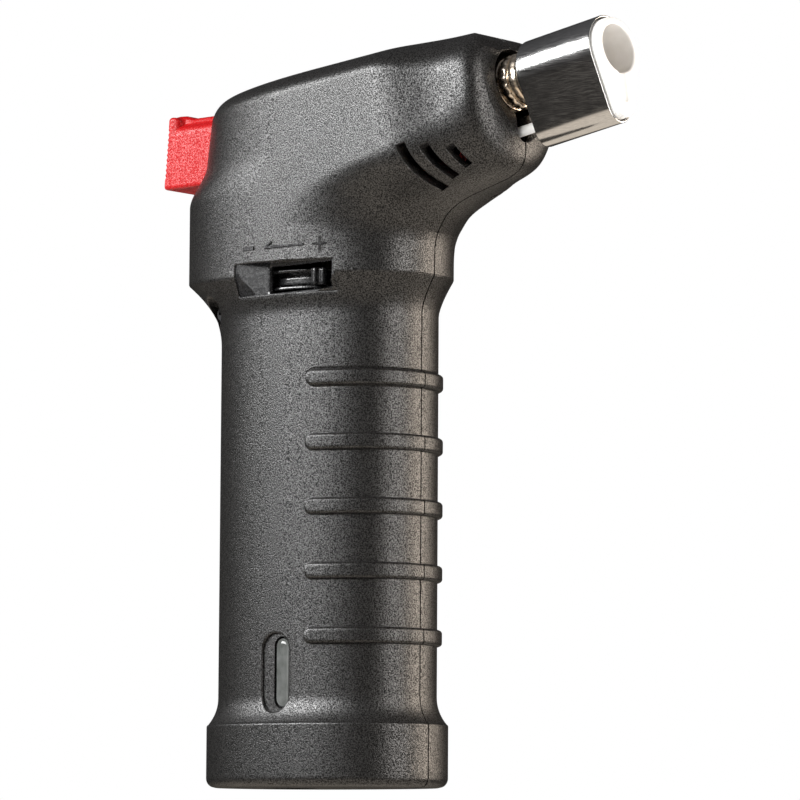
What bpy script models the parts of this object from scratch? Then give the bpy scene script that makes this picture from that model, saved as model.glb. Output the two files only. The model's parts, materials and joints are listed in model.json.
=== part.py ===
"""A butane torch for jewellery making, standing on its base.

The handle holds the fuel tank and its two valves; the head holds the piezo igniter, which the
thumb trigger fires, and the burner, which leaves the head tilted a little upwards.
+X is forward, the way the flame points; +Y is the torch's left; +Z is up. The origin is the
middle of the base. Sizes below are in millimetres, and every mesh is made in metres through MM.
"""

import math

import bmesh
import bpy
from mathutils import Euler, Matrix, Vector
from mathutils.geometry import interpolate_bezier

MM = 0.001
GAP = 0.3  # between pieces that touch
PARTING = 0.15  # half the gap between the two housing halves
WALL = 1.8
MERGE = 0.002  # points closer than this are made one after each cut

# Handle: rounded sections, each a superellipse about the Z axis
SECTION_POWER = 2.22
HANDLE_X = 22.7
HANDLE_Y = 15.35
BASE_LIP = 2.1
BASE_HEIGHT = 11.6
BASE_FLARE_TOP = 15.8
BASE_ROUND = 1.8
FLOOR = 3.0
FLOOR_OPENING_INSET = 3.2

# Head: it starts at a ledge, wider than the handle
LEDGE_Z = 94.6
LEDGE_FRONT = 25.7
LEDGE_REAR = 31.3
LEDGE_Y = 17.55
LEDGE_RISE = 1.3  # the ledge curves up this far towards its rear end
FLARE_BOTTOM = 83.0
FRONT_FLARE_BOTTOM = 88.0
REAR_FLARE_POWER = 2.2
FRONT_FLARE_POWER = 1.4
TOP_REAR = (-19.0, 133.0)
TOP_FRONT = (38.5, 138.4)
TOP_ROUND = 6.5
REAR_STEP = (110.5, 118.5)
REAR_X_ABOVE_STEP = -26.9
REAR_LEAN = 0.14

# Burner axis: it crosses the head's front face at this point
BURNER_X = 45.4
BURNER_Z = 128.5
BURNER_TILT = math.radians(9.4)
NOSE_RADIUS = 13.1
NOSE_TOP_ROUND = 9.0
NOSE_ROUND = 4.0
NOSE_START = -21.0
NOSE_FULL = -6.0

# Finger ribs
RIB_HEIGHTS = [27.7 + 11.9 * row for row in range(5)]
RIB_HALF_HEIGHT = 1.55
RIB_PROUD = 0.9
RIB_END_X = 7.3

# Nozzle sleeve: a drop-shaped tube about the burner axis
DROP_TOP_RADIUS = 6.6
DROP_BOTTOM_RADIUS = 3.4
DROP_LENGTH = 10.2
SLEEVE_REAR = 4.7
SLEEVE_FRONT = 21.8
SLEEVE_WALL = 0.4
CERAMIC_REAR = 14.0
CERAMIC_FRONT = 23.5
FLAME_HOLE_RADIUS = 4.5
SPARK_SLOT_FRONT = 20.4  # the slot from the electrode to the flame hole ends here, behind the face
GROOVE_LOW = -10.0
ELECTRODE_DROP = 9.2
INSULATOR_RADIUS = 0.95

# Igniter and gas parts
TRIGGER_HALF_Y = 6.5
PIEZO_BOX = ((-11.0, -4.2, 117.5), (8.0, 4.2, 127.5))
TANK_TOP = 76.0
LEVER_PIVOT = (-7.0, 104.5)
PIN_HALF_LENGTH = 13.2
REFILL_X = -9.0
ADJUST_REST = math.radians(-56.0)
ADJUST_RADIUS = 17.2

# Housing screws: (x, z, side); -1 is driven from the right, +1 from the left
SCREWS = {
    "screw_rear_neck": (-19.5, 90.0, -1),
    "screw_front_neck": (19.8, 99.8, 1),
    "screw_head_top": (4.0, 130.5, 1),
    "screw_handle": (-15.0, 80.6, 1),
}
SCREW_SEAT_Y = 6.4
WELL_RADIUS = 2.7

for old in list(bpy.data.objects):
    bpy.data.objects.remove(old, do_unlink=True)


# ---------------------------------------------------------------- helpers


def material(name, colour, roughness, metallic=0.0, alpha=1.0):
    """A Principled material in one plain colour."""
    made = bpy.data.materials.new(name)
    made.use_nodes = True
    shader = made.node_tree.nodes["Principled BSDF"]
    shader.inputs["Base Color"].default_value = (*colour, 1.0)
    shader.inputs["Roughness"].default_value = roughness
    shader.inputs["Metallic"].default_value = metallic
    shader.inputs["Alpha"].default_value = alpha
    return made


def add_object(name, points, faces, parent=None, origin=(0.0, 0.0, 0.0)):
    """A mesh object from millimetre points, with its origin at the given place."""
    mesh = bpy.data.meshes.new(name)
    base = Vector(origin)
    mesh.from_pydata([(Vector(p) - base) * MM for p in points], [], faces)
    shell = bmesh.new()
    shell.from_mesh(mesh)
    bmesh.ops.recalc_face_normals(shell, faces=shell.faces)
    shell.to_mesh(mesh)
    shell.free()
    made = bpy.data.objects.new(name, mesh)
    bpy.context.collection.objects.link(made)
    made.location = base * MM
    made.parent = parent
    return made


def finish(made, look, smooth_angle=35.0):
    """Gives a finished piece its material and smooth shading over its round faces."""
    made.data.materials.clear()
    made.data.materials.append(look)
    made.data.shade_smooth()
    made.data.set_sharp_from_angle(angle=math.radians(smooth_angle))
    return made


def rings_to_mesh(rings):
    """Points and faces of a body whose closed rings, all alike in count, are capped at both ends."""
    count = len(rings[0])
    points = [p for ring in rings for p in ring]
    faces = [tuple(range(count)), tuple(range(len(points) - count, len(points)))]
    for row in range(len(rings) - 1):
        for k in range(count):
            a = row * count + k
            b = row * count + (k + 1) % count
            faces.append((a, b, b + count, a + count))
    return points, faces


def tube_to_mesh(outer_rings, inner_rings):
    """Points and faces of a tube with outer and inner rings that share their count."""
    count = len(outer_rings[0])
    loop = list(outer_rings) + list(reversed(inner_rings))
    points = [p for ring in loop for p in ring]
    faces = []
    for row in range(len(loop)):
        below = row * count
        above = ((row + 1) % len(loop)) * count
        for k in range(count):
            after = (k + 1) % count
            faces.append((below + k, below + after, above + after, above + k))
    return points, faces


def combine(target, tool, operation):
    """Joins, cuts or intersects the target with the tool, which is used up."""
    step = target.modifiers.new("shape", "BOOLEAN")
    step.operation = operation
    step.solver = "EXACT"
    step.object = tool
    bpy.context.view_layer.update()
    seen = target.evaluated_get(bpy.context.evaluated_depsgraph_get())
    shaped = bpy.data.meshes.new_from_object(seen)
    joined = bmesh.new()
    joined.from_mesh(shaped)
    bmesh.ops.remove_doubles(joined, verts=joined.verts, dist=MERGE * MM)
    bmesh.ops.dissolve_degenerate(joined, edges=joined.edges, dist=MERGE * MM)
    bmesh.ops.triangulate(joined, faces=joined.faces)
    joined.to_mesh(shaped)
    joined.free()
    target.modifiers.clear()
    target.data = shaped
    bpy.data.objects.remove(tool, do_unlink=True)
    return target


def box(low, high, name="box"):
    """A box between two corners."""
    (x0, y0, z0), (x1, y1, z1) = low, high
    rings = [[(x0, y0, z), (x1, y0, z), (x1, y1, z), (x0, y1, z)] for z in (z0, z1)]
    return add_object(name, *rings_to_mesh(rings))


def extruded(outline, y0, y1, name="outline"):
    """An XZ outline extruded along Y."""
    rings = [[(x, y, z) for x, z in outline] for y in (y0, y1)]
    return add_object(name, *rings_to_mesh(rings))


def bevelled_outline(outline, half_y, edge, name):
    """An XZ outline extruded to both sides of Y = 0, its side edges chamfered."""
    middle = Vector((0.0, 0.0))
    for point in outline:
        middle += Vector(point) / len(outline)
    inner = []
    for point in outline:
        towards = middle - Vector(point)
        inner.append(tuple(Vector(point) + towards.normalized() * edge))
    layers = ((-half_y, inner), (-half_y + edge, outline), (half_y - edge, outline), (half_y, inner))
    rings = [[(x, y, z) for x, z in shape] for y, shape in layers]
    return add_object(name, *rings_to_mesh(rings))


def circle(radius, count, centre=(0.0, 0.0)):
    """Points round a circle, in two dimensions."""
    turn = 2.0 * math.pi / count
    return [
        (centre[0] + radius * math.cos(turn * k), centre[1] + radius * math.sin(turn * k))
        for k in range(count)
    ]


def rod(radius, start, end, count=12, name="rod", parent=None):
    """A cylinder between two points."""
    start, end = Vector(start), Vector(end)
    turn = (end - start).to_track_quat("Z", "Y")
    rings = []
    for centre in (start, end):
        rings.append([tuple(centre + turn @ Vector((x, y, 0.0))) for x, y in circle(radius, count)])
    return add_object(name, *rings_to_mesh(rings), parent=parent)


def turned(name, outer, bore=None, axis="Z", centre=(0.0, 0.0, 0.0), count=16, parent=None):
    """A turned piece: (radius, distance along the axis) pairs outside and, if it has one, in its bore."""

    def placed(radius, along):
        ring = []
        for u, v in circle(radius, count):
            local = (along, u, v) if axis == "X" else (u, v, along)
            ring.append(tuple(Vector(centre) + Vector(local)))
        return ring

    outer_rings = [placed(radius, along) for radius, along in outer]
    if bore is None:
        return add_object(name, *rings_to_mesh(outer_rings), parent=parent, origin=centre)
    inner_rings = [placed(radius, along) for radius, along in bore]
    return add_object(name, *tube_to_mesh(outer_rings, inner_rings), parent=parent, origin=centre)


def coil(name, radius, wire, low, high, turns, axis, centre, steps=9, sides=4):
    """A compression spring between two places along its axis."""
    rings = []
    total = turns * steps
    for k in range(total + 1):
        angle = 2.0 * math.pi * k / steps
        along = low + wire + (high - low - 2.0 * wire) * k / total
        ring = []
        for side in range(sides):
            tilt = 2.0 * math.pi * (side + 0.5) / sides
            reach = radius + wire * math.cos(tilt)
            up = along + wire * math.sin(tilt)
            u, v = reach * math.cos(angle), reach * math.sin(angle)
            local = (up, u, v) if axis == "X" else (u, v, up)
            ring.append(tuple(Vector(centre) + Vector(local)))
        rings.append(ring)
    return add_object(name, *rings_to_mesh(rings))


def smooth_path(points, steps=5):
    """Points on a smooth curve through the given ones."""
    route = [Vector(p) for p in points]
    path = []
    for k in range(len(route) - 1):
        before = route[max(k - 1, 0)]
        after = route[min(k + 2, len(route) - 1)]
        lead_out = route[k] + (route[k + 1] - before) / 6.0
        lead_in = route[k + 1] - (after - route[k]) / 6.0
        piece = interpolate_bezier(route[k], lead_out, lead_in, route[k + 1], steps + 1)
        path.extend(piece[:-1])
    path.append(route[-1])
    return path


def swept(name, path, radius, bore=None, count=8):
    """A round wire, or a hose with a bore, along a path."""
    outer, inner = [], []
    turn = (path[1] - path[0]).to_track_quat("Z", "Y")
    for k, point in enumerate(path):
        ahead = path[min(k + 1, len(path) - 1)] - path[max(k - 1, 0)]
        turn = (turn @ Vector((0.0, 0.0, 1.0))).rotation_difference(ahead) @ turn
        for reach, rings in ((radius, outer), (bore, inner)):
            if reach:
                rings.append([tuple(point + turn @ Vector((u, v, 0.0))) for u, v in circle(reach, count)])
    if bore is None:
        return add_object(name, *rings_to_mesh(outer))
    return add_object(name, *tube_to_mesh(outer, inner))


# ---------------------------------------------------------------- outer form


def rounded(distance, radius, power=2.0):
    """How much of the full width is left at a distance from an edge that is rounded over."""
    inside = 1.0 - min(max(distance / radius, 0.0), 1.0)
    return (1.0 - inside**power) ** (1.0 / power)


def ease(value, start, end):
    """0 before start, 1 after end, and a smooth step between."""
    share = min(max((value - start) / (end - start), 0.0), 1.0)
    return share * share * (3.0 - 2.0 * share)


def section(front, rear, half_y, z, columns):
    """Half a superellipse from the front seam to the rear seam, on the right side."""
    row = []
    for k in range(columns + 1):
        angle = math.pi * k / columns
        reach = front if angle < math.pi / 2 else rear
        x = reach * math.copysign(abs(math.cos(angle)) ** (2.0 / SECTION_POWER), math.cos(angle))
        y = -half_y * max(math.sin(angle), 0.0) ** (2.0 / SECTION_POWER)
        row.append((x, 0.0 if k in (0, columns) else y, z))
    return row


def burner_frame(x, z):
    """A point's distance ahead of the head's front face, and above the burner axis."""
    dx, dz = x - BURNER_X, z - BURNER_Z
    ahead = dx * math.cos(BURNER_TILT) + dz * math.sin(BURNER_TILT)
    above = dz * math.cos(BURNER_TILT) - dx * math.sin(BURNER_TILT)
    return ahead, above


def top_depth(x, z):
    """How far a point lies below the head's sloping top."""
    along = Vector(TOP_FRONT) - Vector(TOP_REAR)
    normal = Vector((-along.y, along.x)).normalized()
    return (Vector(TOP_REAR) - Vector((x, z))).dot(normal)


def rear_edge(z):
    """X of the head's rear outline, which steps in above the lower part to frame the trigger."""
    step = ease(z, *REAR_STEP)
    above = REAR_X_ABOVE_STEP + REAR_LEAN * max(z - REAR_STEP[1], 0.0)
    return -LEDGE_REAR + (above + LEDGE_REAR) * step


def head_row(front, rear, front_round, corner_round, inset, columns):
    """One row of the head's right side, between its front and rear outline points."""
    front, rear = Vector(front), Vector(rear)
    length = (rear - front).length
    row = []
    for k in range(columns + 1):
        angle = math.pi * k / columns
        half = 0.45 if angle < math.pi / 2 else 0.55
        lean = math.copysign(abs(math.cos(angle)) ** (2.0 / SECTION_POWER), math.cos(angle))
        share = 0.45 - half * lean
        x, z = front.lerp(rear, share)
        ahead, _ = burner_frame(x, z)
        nose = ease(ahead, NOSE_START, NOSE_FULL)
        width = LEDGE_Y + (NOSE_RADIUS - LEDGE_Y) * nose - inset
        top_round = TOP_ROUND + (NOSE_TOP_ROUND - TOP_ROUND) * nose
        width *= rounded(share * length, front_round - inset, SECTION_POWER - 0.22 * nose)
        width *= rounded(top_depth(x, z) - inset, top_round - inset)
        width *= rounded(x - rear_edge(z) - inset, LEDGE_REAR - inset, SECTION_POWER)
        width *= rounded((1.0 - share) * length, corner_round)
        edge_round = NOSE_ROUND - inset
        behind = min(max((-ahead - inset) / edge_round, 0.0), 1.0)
        width -= edge_round * (1.0 - math.sqrt(1.0 - (1.0 - behind) ** 2))
        row.append((x, 0.0 if k in (0, columns) else -max(width, 0.05), z))
    return row


# Front and rear outline points of the head's rows, and how far the front one is rounded over
HEAD_ROWS = [
    ((25.7, 97.5), (-31.3, 102.5), 25.7),
    ((25.8, 100.0), (-31.3, 110.0), 25.2),
    ((26.3, 102.0), (-30.3, 113.3), 24.0),
    ((27.4, 103.9), (-27.9, 116.4), 22.5),
    ((28.6, 105.5), (-26.9, 119.6), 21.0),
    ((30.3, 106.8), (-26.3, 123.4), 19.0),
    ((32.3, 107.8), (-25.7, 127.8), 17.3),
    ((34.5, 108.6), (-24.0, 131.2), 16.0),
    ((36.7, 109.2), (-19.6, 132.9), 15.0),
    ((38.9, 109.8), (-10.0, 133.8), 14.2),
    ((41.1, 110.4), (2.0, 134.8), 13.5),
    ((43.2, 111.0), (14.0, 136.0), 12.9),
    ((45.0, 111.8), (24.5, 137.1), 12.5),
    ((46.3, 112.8), (32.0, 137.8), 12.4),
    ((47.1, 114.2), (38.0, 137.9), 12.5),
    ((47.3, 115.5), (42.0, 136.7), 12.7),
    ((47.25, 116.6), (44.3, 134.2), 12.9),
]
CORNER_ROWS = range(5, 9)
CORNER_ROUND = 3.0


def flare(z, low, reach, power):
    """Outward reach of a concave flare that runs from low up to the ledge."""
    share = min(max((z - low) / (LEDGE_Z - low), 0.0), 1.0)
    return reach * share**power


def lifted(row):
    """A row of the flare, raised towards the rear as the ledge is."""
    moved = []
    for x, y, z in row:
        rearward = max((LEDGE_FRONT - x) / (LEDGE_FRONT + LEDGE_REAR), 0.0)
        share = max((z - FLARE_BOTTOM) / (LEDGE_Z - FLARE_BOTTOM), 0.0)
        moved.append((x, y, z + LEDGE_RISE * min(share, 1.0) * min(rearward, 1.0) ** 3))
    return moved


def handle_rows(inset, columns):
    """Rows of the handle and its base, below the head."""
    front, rear, half_y = HANDLE_X - inset, HANDLE_X - inset, HANDLE_Y - inset
    rows = []
    if inset == 0.0:
        lip = BASE_LIP
        for z, less in ((0.0, BASE_ROUND), (0.5, 0.75), (BASE_ROUND, 0.0), (BASE_HEIGHT, 0.0)):
            rows.append(section(front + lip - less, rear + lip - less, half_y + lip - less, z, columns))
        for share in (0.0, 0.33, 0.66, 1.0):
            z = BASE_HEIGHT + 0.2 + (BASE_FLARE_TOP - BASE_HEIGHT) * share
            reach = (lip - 0.35) * (1.0 - share) ** 2
            rows.append(section(front + reach, rear + reach, half_y + reach, z, columns))
    else:
        rows.append(section(front, rear, half_y, FLOOR, columns))
    rows.append(section(front, rear, half_y, 50.0, columns))
    for share in (0.0, 0.3, 0.55, 0.8, 0.95, 1.0):
        z = FLARE_BOTTOM + (LEDGE_Z - FLARE_BOTTOM) * share
        add_front = flare(z, FRONT_FLARE_BOTTOM, LEDGE_FRONT - HANDLE_X, FRONT_FLARE_POWER)
        add_rear = flare(z, FLARE_BOTTOM, LEDGE_REAR - HANDLE_X, REAR_FLARE_POWER)
        add_y = flare(z, FRONT_FLARE_BOTTOM, LEDGE_Y - HANDLE_Y, FRONT_FLARE_POWER)
        rise = 0.8 * inset
        row = section(front + add_front, rear + add_rear, half_y + add_y, z + rise, columns)
        rows.append(lifted(row))
    return rows


def inset_points(points, inset, turn):
    """An open outline moved sideways by the inset, to the side that turn picks."""
    moved = []
    for k, point in enumerate(points):
        along = Vector(points[min(k + 1, len(points) - 1)]) - Vector(points[max(k - 1, 0)])
        normal = Vector((-along.y, along.x)).normalized() * turn
        moved.append(Vector(point) + normal * inset)
    return moved


def body(name, inset, columns=14):
    """The whole outer form, or, with an inset, the room inside it."""
    rows = handle_rows(inset, columns)
    fronts = inset_points([row[0] for row in HEAD_ROWS], inset, 1.0)
    rears = inset_points([row[1] for row in HEAD_ROWS], inset, -1.0)
    for k, (front, rear) in enumerate(zip(fronts, rears)):
        corner = CORNER_ROUND if k in CORNER_ROWS else 0.01
        rows.append(head_row(front, rear, HEAD_ROWS[k][2], corner, inset, columns))
    rings = []
    for row in rows:
        left = [(x, -y, z) for x, y, z in reversed(row[1:-1])]
        rings.append(row + left)
    return add_object(name, *rings_to_mesh(rings))


def finger_rib(z):
    """A raised band round the front of the handle, with round ends on both sides."""
    columns = 18
    end_angle = math.acos((RIB_END_X / HANDLE_X) ** (SECTION_POWER / 2.0))
    rings = []
    for k in range(columns + 1):
        angle = end_angle * (2.0 * k / columns - 1.0)
        past = max(abs(angle) / end_angle - 0.9, 0.0) / 0.1
        half = RIB_HALF_HEIGHT * math.sqrt(max(1.0 - past**2, 0.02))
        layers = ((-1.0, -half), (RIB_PROUD - 0.4, -half), (RIB_PROUD, -half * 0.7))
        ring = []
        for reach, up in layers + tuple((r, -u) for r, u in reversed(layers)):
            x = (HANDLE_X + reach) * math.cos(angle) ** (2.0 / SECTION_POWER)
            y = math.copysign(abs(math.sin(angle)) ** (2.0 / SECTION_POWER), angle)
            ring.append((x, (HANDLE_Y + reach) * y, z + up))
        rings.append(ring)
    return add_object("rib", *rings_to_mesh(rings))


# ---------------------------------------------------------------- housing


def stadium(x0, x1, z0, z1, count=6):
    """A rounded XZ outline, its ends half circles."""
    radius = min(x1 - x0, z1 - z0) / 2.0
    outline = []
    corners = ((x1 - radius, z1 - radius, 0), (x0 + radius, z1 - radius, 1))
    corners += ((x0 + radius, z0 + radius, 2), (x1 - radius, z0 + radius, 3))
    for cx, cz, quarter in corners:
        for k in range(count):
            angle = math.pi / 2.0 * (quarter + k / (count - 1))
            outline.append((cx + radius * math.cos(angle), cz + radius * math.sin(angle)))
    return [p for k, p in enumerate(outline) if Vector(p) != Vector(outline[k - 1])]


# Cooling vents: upper end, lower end and how far the middle bows down, in XZ
VENTS = [
    ((30.9, 116.5), (33.8, 109.2), 0.15),
    ((34.7, 116.3), (37.2, 110.9), 0.1),
    ((38.9, 116.0), (40.5, 112.6), 0.05),
]
VENT_WIDTH = 1.75


def vent_outline(upper, lower, bow):
    """A slanted slot that bows down a little between its ends."""
    upper, lower = Vector(upper), Vector(lower)
    along = lower - upper
    across = Vector((-along.y, along.x)).normalized()
    left, right = [], []
    for k in range(5):
        share = k / 4.0
        middle = upper + along * share - across * bow * 4.0 * share * (1.0 - share)
        left.append(tuple(middle + across * VENT_WIDTH / 2.0))
        right.append(tuple(middle - across * VENT_WIDTH / 2.0))
    return left + right[::-1]


def burner_tool(points_and_faces):
    """A cutter given in the burner's own frame, moved onto the burner axis."""
    points, faces = points_and_faces
    turn = Euler((0.0, -BURNER_TILT, 0.0)).to_matrix()
    place = Vector((BURNER_X, 0.0, BURNER_Z))
    return add_object("tool", [place + turn @ Vector(p) for p in points], faces)


def tilted_disc(radius, start, end, count=20, drop=0.0):
    """A cylinder along the burner axis, or parallel to it and lower."""
    rings = []
    for along in (start, end):
        rings.append([(along, u, v - drop) for u, v in circle(radius, count)])
    return burner_tool(rings_to_mesh(rings))


def tilted_box(low, high):
    """A box in the burner's frame."""
    (x0, y0, z0), (x1, y1, z1) = low, high
    rings = [[(x0, y0, z), (x1, y0, z), (x1, y1, z), (x0, y1, z)] for z in (z0, z1)]
    return burner_tool(rings_to_mesh(rings))


def add_inner_frame(shell, side):
    """Screw bosses, the burner saddle and the igniter's pocket walls, inside one half."""
    frame = []
    for x, z, _ in SCREWS.values():
        frame.append(rod(3.2, (x, side * PARTING, z), (x, side * 30.0, z), 14))
    near, far = sorted((side * PARTING, side * 30.0))
    for x in (-12.9, 8.3):
        frame.append(box((x, near, 112.0), (x + 1.5, far, 140.0)))
    frame.append(tilted_box((-19.0, near, -20.0), (-17.4, far, 20.0)))
    px, pz = LEVER_PIVOT
    frame.append(rod(2.8, (px, side * 10.5, pz), (px, side * 30.0, pz), 14))
    if side < 0:
        frame.append(box((-11.6, -30.0, 88.6), (15.6, -14.2, 99.4)))
    for piece in frame:
        combine(piece, body("outer", 0.15), "INTERSECT")
        combine(shell, piece, "UNION")


def add_clearances(shell):
    """Room inside the half for what the frame holds."""
    (x0, y0, z0), (x1, y1, z1) = PIEZO_BOX
    grip = (x0 - 3.0, y0 - GAP, z0 - GAP), (x1 + GAP, y1 + GAP, z1 + GAP)
    cutters = [
        tilted_disc(3.5, -30.0, -7.0),
        box(*grip),
        box((x1 - 1.0, -8.0, 100.0), (x1 + 3.0, 8.0, 124.8)),
        box((-28.0, -4.0, 100.0), (-8.0, 4.0, 116.0)),
        tilted_box((-26.0, -7.0, -11.6), (-12.0, 7.0, -0.7)),
        tilted_box((-26.0, -6.4, -1.3), (-12.0, 6.4, 1.3)),
        tilted_disc(6.35, -6.0, 10.0, 24),
        tilted_box((-6.0, -1.6, -11.2), (10.0, 1.6, 0.0)),
        box((-40.0, -TRIGGER_HALF_Y - 0.4, 114.5), (-8.5, TRIGGER_HALF_Y + 0.4, 129.5)),
    ]
    px, pz = LEVER_PIVOT
    reach = PIN_HALF_LENGTH + GAP
    cutters.append(rod(1.0 + GAP, (px, -reach, pz), (px, reach, pz), 12))
    for cutter in cutters:
        combine(shell, cutter, "DIFFERENCE")


def screw_holes(shell, side):
    """Wells and holes for the screws that this half takes from outside, pilot holes for the others."""
    for x, z, driven in SCREWS.values():
        if driven == side:
            well = rod(WELL_RADIUS, (x, side * SCREW_SEAT_Y, z), (x, side * 30.0, z), 16)
            combine(shell, well, "DIFFERENCE")
            combine(shell, rod(1.5, (x, 0.0, z), (x, side * 10.0, z), 10), "DIFFERENCE")
        else:
            combine(shell, rod(1.5, (x, 0.0, z), (x, side * 9.0, z), 10), "DIFFERENCE")


def side_openings(shell, side):
    """Vents on both sides; the flame lever's slot and the fuel window on the right."""
    for upper, lower, bow in VENTS:
        outline = vent_outline(upper, lower, bow)
        combine(shell, extruded(outline, side * 4.0, side * 25.0), "DIFFERENCE")
    if side > 0:
        return
    recess = [(-9.1, 91.4), (13.9, 91.2), (14.2, 97.0), (-8.9, 97.4)]
    combine(shell, extruded(recess, -20.0, -15.6), "DIFFERENCE")
    combine(shell, box((-1.6, -20.0, 91.8), (13.2, -12.0, 96.6)), "DIFFERENCE")
    combine(shell, extruded(stadium(-2.6, 3.9, 13.8, 28.3), -20.0, -14.7), "DIFFERENCE")
    combine(shell, extruded(stadium(0.0, 3.6, 14.4, 27.7), -20.0, -12.0), "DIFFERENCE")


def housing(name, side, look):
    """One moulded half of the housing; side is -1 for the right and +1 for the left."""
    shell = body(name, 0.0)
    for z in RIB_HEIGHTS:
        combine(shell, finger_rib(z), "UNION")
    combine(shell, body("room", WALL), "DIFFERENCE")
    reach_x, reach_y = HANDLE_X - FLOOR_OPENING_INSET, HANDLE_Y - FLOOR_OPENING_INSET
    rings = [stadium_ring(reach_x, reach_y, z) for z in (-1.0, FLOOR + 1.0)]
    combine(shell, add_object("opening", *rings_to_mesh(rings)), "DIFFERENCE")
    near, far = sorted((side * PARTING, side * 60.0))
    add_inner_frame(shell, side)
    combine(shell, box((-60.0, near, -10.0), (80.0, far, 160.0)), "INTERSECT")
    add_clearances(shell)
    screw_holes(shell, side)
    side_openings(shell, side)
    return finish(shell, look, 30.0)


# ---------------------------------------------------------------- fuel tank and valves


def stadium_ring(reach_x, reach_y, z, columns=12):
    """A full superellipse ring."""
    row = section(reach_x, reach_x, reach_y, z, columns)
    return row + [(x, -y, z) for x, y, z in reversed(row[1:-1])]


def tank_form(name, inset, low, high):
    """The tank's rounded column with a domed top."""
    reach_x, reach_y = HANDLE_X - WALL - 0.5 - inset, HANDLE_Y - WALL - 0.5 - inset
    rings = [stadium_ring(reach_x, reach_y, low), stadium_ring(reach_x, reach_y, high - 5.0)]
    rings.append(stadium_ring(reach_x - 1.2, reach_y - 1.2, high - 1.8))
    rings.append(stadium_ring(reach_x - 4.2, reach_y - 4.2, high))
    return add_object(name, *rings_to_mesh(rings))


def fuel_tank(look):
    """The clear tank: open below, with a neck for the valve and a bulge that shows in the window."""
    tank = tank_form("fuel_tank", 0.0, 5.3, TANK_TOP)
    combine(tank, rod(6.8, (0.0, 0.0, TANK_TOP - 4.0), (0.0, 0.0, TANK_TOP + 4.0), 20), "UNION")
    combine(tank, extruded(stadium(0.35, 3.25, 14.8, 27.3), -14.5, -11.0), "UNION")
    combine(tank, tank_form("fuel", 1.5, 2.0, TANK_TOP - 1.5), "DIFFERENCE")
    combine(tank, rod(4.3, (0.0, 0.0, 60.0), (0.0, 0.0, 90.0), 16), "DIFFERENCE")
    return finish(tank, look)


def tank_lid(look):
    """The base of the tank, level with the foot of the housing, with a well for the filling valve."""
    plug_x, plug_y = HANDLE_X - WALL - 0.5 - 1.5 - GAP, HANDLE_Y - WALL - 0.5 - 1.5 - GAP
    flange_x, flange_y = plug_x + 1.5 + GAP, plug_y + 1.5 + GAP
    foot_x, foot_y = HANDLE_X - FLOOR_OPENING_INSET - GAP, HANDLE_Y - FLOOR_OPENING_INSET - GAP
    rings = [
        stadium_ring(foot_x - 0.5, foot_y - 0.5, 0.0),
        stadium_ring(foot_x, foot_y, 0.5),
        stadium_ring(foot_x, foot_y, FLOOR + GAP),
        stadium_ring(flange_x, flange_y, FLOOR + GAP),
        stadium_ring(flange_x, flange_y, FLOOR + 2.0),
        stadium_ring(plug_x, plug_y, FLOOR + 2.0),
        stadium_ring(plug_x, plug_y, FLOOR + 6.0),
    ]
    lid = add_object("tank_lid", *rings_to_mesh(rings))
    room = [stadium_ring(plug_x - 1.5, plug_y - 1.5, z) for z in (FLOOR + 2.0, FLOOR + 8.0)]
    combine(lid, add_object("room", *rings_to_mesh(room)), "DIFFERENCE")
    combine(lid, rod(6.6, (REFILL_X, 0.0, 4.0), (REFILL_X, 0.0, 12.0), 20), "UNION")
    combine(lid, rod(5.1, (REFILL_X, 0.0, -1.0), (REFILL_X, 0.0, 5.0), 20), "DIFFERENCE")
    combine(lid, rod(3.5, (REFILL_X, 0.0, 0.0), (REFILL_X, 0.0, 20.0), 16), "DIFFERENCE")
    return finish(lid, look)


def refill_valve(brass, rubber, steel):
    """The filling valve: body, stem, spring, retainer and the seal that the stem's head closes."""
    centre = (REFILL_X, 0.0, 0.0)
    outer = [(3.2, 5.3), (3.2, 12.3), (4.4, 12.3), (4.4, 13.8), (3.2, 13.8), (3.2, 16.2)]
    bore = [(1.6, 5.3), (1.6, 7.6), (2.4, 7.6), (2.4, 16.2)]
    finish(turned("refill_valve_body", outer, bore, centre=centre, count=14), brass)
    stem = [(1.1, 5.9), (1.1, 8.9), (2.0, 8.9), (2.0, 10.1), (0.7, 10.1), (0.7, 13.0)]
    finish(turned("refill_valve_stem", stem, centre=centre, count=12), brass)
    finish(turned("refill_valve_seal", [(2.1, 7.9), (2.1, 8.6)], [(1.4, 7.9), (1.4, 8.6)],
                  centre=centre, count=12), rubber)
    finish(turned("refill_valve_retainer", [(2.1, 15.0), (2.1, 15.9)], [(1.0, 15.0), (1.0, 15.9)],
                  centre=centre, count=12), steel)
    finish(coil("refill_valve_spring", 1.45, 0.2, 10.4, 14.7, 4, "Z", centre), steel)


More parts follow.
